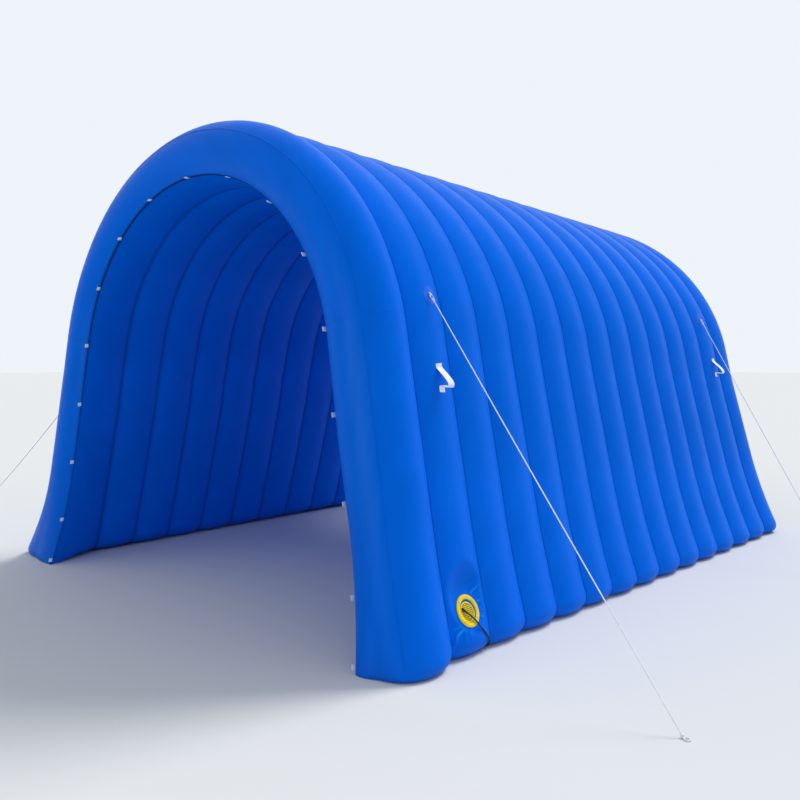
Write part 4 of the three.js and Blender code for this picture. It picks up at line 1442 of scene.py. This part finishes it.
def coil_points():
    """In along the ground layer, up, out along the second layer, and down to the plug's side."""
    low = 4.1
    high = low + CABLE_DIAMETER / MM
    stops = [(0, COIL_SIDE, CABLE_Z)]
    turn = 0
    for radius in reversed(COIL_TURNS):
        stops.append((turn + 60, radius, low))
        stops.append((turn + 360, radius, low))
        turn += 360
    stops.append((turn + 60, COIL_TURNS[0], high))
    for radius in COIL_TURNS[1:]:
        stops.append((turn + 300, stops[-1][1], high))
        stops.append((turn + 360, radius, high))
        turn += 360
    stops.append((turn + 300, COIL_TURNS[-1], high))
    stops.append((turn + 360, COIL_SIDE, high + 0.6))
    stops.append((turn + 400, COIL_SIDE, high + 0.6))
    stops.append((turn + 540, COIL_SIDE, CABLE_Z))
    turns, radii, lifts = (np.array(each, float) for each in zip(*stops))
    at = np.arange(0, turns[-1], 360 / COIL_POINTS)
    at = np.append(at, turns[-1])
    points = []
    for angle in at:
        radius = between(angle, turns, radii)
        lift = between(angle, turns, lifts)
        way = math.radians(angle)
        points.append(in_row(COIL_X + radius * math.cos(way), COIL_Y + radius * math.sin(way), lift))
    return points


def between(at, stops, values):
    """The value at a place among stops, eased from each to the next."""
    i = max(1, int(np.searchsorted(stops, at)))
    share = eased((at - stops[i - 1]) / (stops[i] - stops[i - 1]))
    return values[i - 1] + (values[i] - values[i - 1]) * share


def cable_line():
    route = smooth_line(cable_points(), 60)
    coil = np.array(coil_points())
    tail = [in_row(COIL_X - COIL_SIDE, COIL_Y - reach, CABLE_Z) for reach in (8, 16, 24, PLUG_TAIL)]
    return np.concatenate([route[:-1], coil, np.array(tail)])


# The flange's outline: from its hole over the top to its rim, as radius and lift in millimetres.
FLANGE_LINE = [
    (58.6, 0),
    (81.3, 0),
    (82, 0.7),
    (82, 3.4),
    (81.2, 4.8),
    (78.4, 5.5),
    (77.2, 6.4),
    (75.4, 7.7),
    (73.2, 8),
    (65.4, 8),
    (63.2, 7.4),
    (61.8, 6.2),
    (59.6, 5.6),
    (58.2, 4.6),
    (58, 0.7),
]
BOSSES = [40, 132, 222, 318]  # degrees round the flange
BOSS_RADIUS = 7.5 * MM
BOSS_LIFT = 7.4 * MM
SCREW_CIRCLE = 70 * MM
SCREW_RADIUS = 3.2 * MM
SCREW_LIFT = 2.6 * MM  # over its boss's middle
GRILLE_CELLS = 10
GRILLE_HALF = 48 * MM
GRILLE_MESH = 44 * MM  # the holes stop here and the rim begins
GRILLE_BAR = 2.2 * MM  # half of the bar between two holes
GRILLE_CORNER = 1.1 * MM
GRILLE_SHEET = 1.8 * MM
GRILLE_RIM_LINE = [(43.6, 0.2), (50.6, 0), (51, 0.5), (51, 2.6)]
GRILLE_RIM_LINE += [(50.2, 3.5), (48.4, 4), (46, 3.7), (44.2, 2.8)]


def set_on_port(bm, lift, across=0.0, up=0.0):
    """Moves a mesh made round +Z onto the port's seat."""
    frame = Matrix((ALONG_ROW, PORT_UP, PORT_OUT)).transposed().to_4x4()
    bmesh.ops.transform(bm, verts=bm.verts, matrix=Matrix.Translation(on_port(lift, across, up)) @ frame)


def turned(bm, outline, steps):
    """A closed outline of radius and lift, spun right round."""
    rim = [bm.verts.new((radius * MM, 0, lift * MM)) for radius, lift in outline]
    edges = [bm.edges.new(pair) for pair in zip(rim, rim[1:] + rim[:1])]
    spun(bm, rim + edges, steps)


def flange_piece():
    bm = bmesh.new()
    turned(bm, FLANGE_LINE, 96)
    for degrees in BOSSES:
        turn = math.radians(degrees)
        spot = Vector((SCREW_CIRCLE * math.cos(turn), SCREW_CIRCLE * math.sin(turn), BOSS_LIFT))
        for radius, rise, height in ((BOSS_RADIUS, 0, 0.42), (SCREW_RADIUS, SCREW_LIFT, 0.5)):
            head = bmesh.ops.create_uvsphere(bm, u_segments=20, v_segments=10, radius=radius)["verts"]
            bmesh.ops.scale(bm, verts=head, vec=(1, 1, height))
            bmesh.ops.translate(bm, verts=head, vec=spot + Vector((0, 0, rise)))
    set_on_port(bm, GAP / MM)
    keep(finished("port_flange", bm, YELLOW, sharp=40), "yellow_plastic", "port_ring")


def grille_piece():
    """A perforated disc inside a moulded rim."""
    bm = bmesh.new()
    bmesh.ops.create_grid(bm, x_segments=GRILLE_CELLS, y_segments=GRILLE_CELLS, size=GRILLE_HALF)
    outside = [face for face in bm.faces if face.calc_center_median().length > GRILLE_MESH]
    bmesh.ops.delete(bm, geom=outside, context="FACES")
    cells = bm.faces[:]
    bmesh.ops.inset_individual(bm, faces=cells, thickness=GRILLE_BAR)
    corners = list({vert for face in cells for vert in face.verts})
    bmesh.ops.delete(bm, geom=cells, context="FACES_ONLY")
    bevelled(bm, corners, GRILLE_CORNER, 2, "VERTICES")
    bmesh.ops.recalc_face_normals(bm, faces=bm.faces)
    bmesh.ops.solidify(bm, geom=bm.faces[:], thickness=GRILLE_SHEET)
    bmesh.ops.translate(bm, verts=bm.verts, vec=(0, 0, 1.0 * MM))
    bmesh.ops.recalc_face_normals(bm, faces=bm.faces)
    rim = bmesh.new()
    turned(rim, GRILLE_RIM_LINE, 72)
    merge(bm, rim)
    set_on_port(bm, *GRILLE_PLACE)
    keep(finished("grille", bm, YELLOW, sharp=35), "yellow_plastic", "port_grille")


def port_shade_disc_piece():
    """A thin black disc behind the grille: painted shade for the dark inside of the port."""
    bm = bmesh.new()
    turned(bm, [(0.2, 0), (43.4, 0), (43.9, 0.3), (43.4, 0.5), (30, 0.4), (0.2, 0.3)], 48)
    close_rims(bm)
    set_on_port(bm, *GRILLE_PLACE)
    keep(finished("port_shade_disc", bm, RUBBER, sharp=40), "black_rubber")


def gland_piece():
    """A barrel on a foot, with a ribbed sleeve that tapers along the cable."""
    rings = [(-16, 4.6), (-15.6, 5.6), (-15, 6), (-1, 6), (0, 5.9), (1.6, 5.0)]
    rings += [(3, 5.8), (5, 5.7), (6.4, 4.9), (8, 5.5), (10, 5.4), (11.4, 4.8)]
    rings += [(13, 5.2), (15, 5.1), (16.4, 4.6), (18, 4.9), (21, 4.7), (22, 4.2)]
    turns = circle(1.0, 24)
    stations = []
    for reach, radius in rings:
        centre = over_grille(reach, 0.0003 * max(0, reach) ** 2.4)
        way = ALONG_ROW * GLAND_WAY[0] + PORT_UP * GLAND_WAY[1]
        beside = PORT_OUT.cross(way)
        stations.append([centre + (beside * a + PORT_OUT * b) * radius * MM for a, b in turns])
    bm = rolled_sheet(np.array(stations).transpose(1, 0, 2))
    foot = bmesh.new()
    block = bmesh.ops.create_cube(foot, size=1)["verts"]
    bmesh.ops.scale(foot, verts=block, vec=(GLAND_LENGTH * MM, 2 * GLAND_RADIUS * MM, GLAND_RADIUS * MM))
    bevelled(foot, foot.edges[:], 1.2 * MM, 3)
    bmesh.ops.translate(foot, verts=foot.verts, vec=(GLAND_LENGTH / 2 * MM, 0, GLAND_RADIUS / 2 * MM))
    rotate(foot, foot.verts, math.atan2(GLAND_WAY[1], GLAND_WAY[0]), "Z")
    set_on_port(foot, GLAND_LIFT, *GLAND_START)
    merge(bm, foot)
    keep(finished("gland", bm, RUBBER, sharp=40), "black_rubber", "cable_gland")


flange_piece()
grille_piece()
port_shade_disc_piece()
gland_piece()

cable_path = cable_line()
tube = circle(CABLE_DIAMETER / 2, 14)
cable = finished("cable", rolled_sheet(swept(cable_path, tube)), RUBBER)
keep(cable, "black_rubber", "power_cable", "cable_coil")


def plug_piece():
    """The plug beside the coil: a ribbed neck and a moulded grip."""
    rings = [  # millimetres from the coil, half width, half height
        (20, 4.3, 4.3),
        (23, 5.6, 5.0),
        (24, 4.8, 4.4),
        (26, 6.0, 5.4),
        (27, 5.0, 4.7),
        (29, 6.4, 5.8),
        (30, 5.4, 5.1),
        (32, 6.8, 6.4),
        (34, 6.6, 6.6),
        (38, 8.0, 8.0),
        (46, 11.2, 10.0),
        (54, 12.8, 10.9),
        (64, 12.6, 10.9),
        (72, 13.0, 11.0),
        (76, 13.0, 11.0),
        (78, 12.0, 10.2),
    ]
    turns = np.linspace(0, 2 * math.pi, 33)
    stations = []
    for reach, wide, tall in rings:
        across, up = squarish(turns, PLUG_CORNER if reach > PLUG_TAIL else 1.0)
        across = COIL_X - COIL_SIDE + wide * across
        lift = max(CABLE_Z, tall + 0.05) + tall * up
        stations.append([in_row(a, COIL_Y - reach, b) for a, b in zip(across, lift)])
    bm = rolled_sheet(np.array(stations).transpose(1, 0, 2))
    body = finished("plug", bm, RUBBER, sharp=50)
    return keep(body, "black_rubber", "cable_plug")


def pins_piece():
    """The plug's two flat blades, and the round pin under them."""
    bm = bmesh.new()
    for across in (-BLADE_SPREAD, BLADE_SPREAD):
        blade = bmesh.ops.create_cube(bm, size=1)["verts"]
        bmesh.ops.scale(bm, verts=blade, vec=BLADE)
        edges = {edge for vert in blade for edge in vert.link_edges}
        spot = in_row(COIL_X - COIL_SIDE + across, COIL_Y - BLADE_REACH, BLADE_Z)
        bmesh.ops.translate(bm, verts=blade, vec=spot)
        bevelled(bm, list(edges), 0.4 * MM, 2)
    pin = bmesh.ops.create_cone(
        bm, cap_ends=True, segments=20, radius1=PIN_RADII[0], radius2=PIN_RADII[1], depth=PIN_LENGTH
    )["verts"]
    rotate(bm, pin, math.pi / 2, "X")
    bmesh.ops.translate(bm, verts=pin, vec=in_row(COIL_X - COIL_SIDE, COIL_Y - PIN_REACH, PIN_Z))
    return keep(finished("plug_pins", bm, STEEL, sharp=35), "steel")


def tie_piece(name, angle):
    """A short strap round the coil's turns."""
    way = Vector((math.cos(angle), math.sin(angle), 0))
    middle = (COIL_TURNS[0] + COIL_TURNS[-1]) / 2
    half = (COIL_TURNS[-1] - COIL_TURNS[0]) / 2 + 5.2
    shape = []
    for across, up in zip(*squarish(np.linspace(0, 2 * math.pi, 49), TIE_CORNER)):
        centre = in_row(COIL_X, COIL_Y, TIE_LIFT + TIE_HALF * (1 + up))
        shape.append(centre + way * (middle + half * across) * MM)
    across = Vector((-way.y, way.x, 0))
    return keep(strap_piece(name, shape, TIE_WIDTH, TIE_THICK, across, RUBBER), "black_rubber")


plug = plug_piece()
pins = pins_piece()
ties = [tie_piece("coil_tie_1", math.radians(100)), tie_piece("coil_tie_2", math.radians(290))]
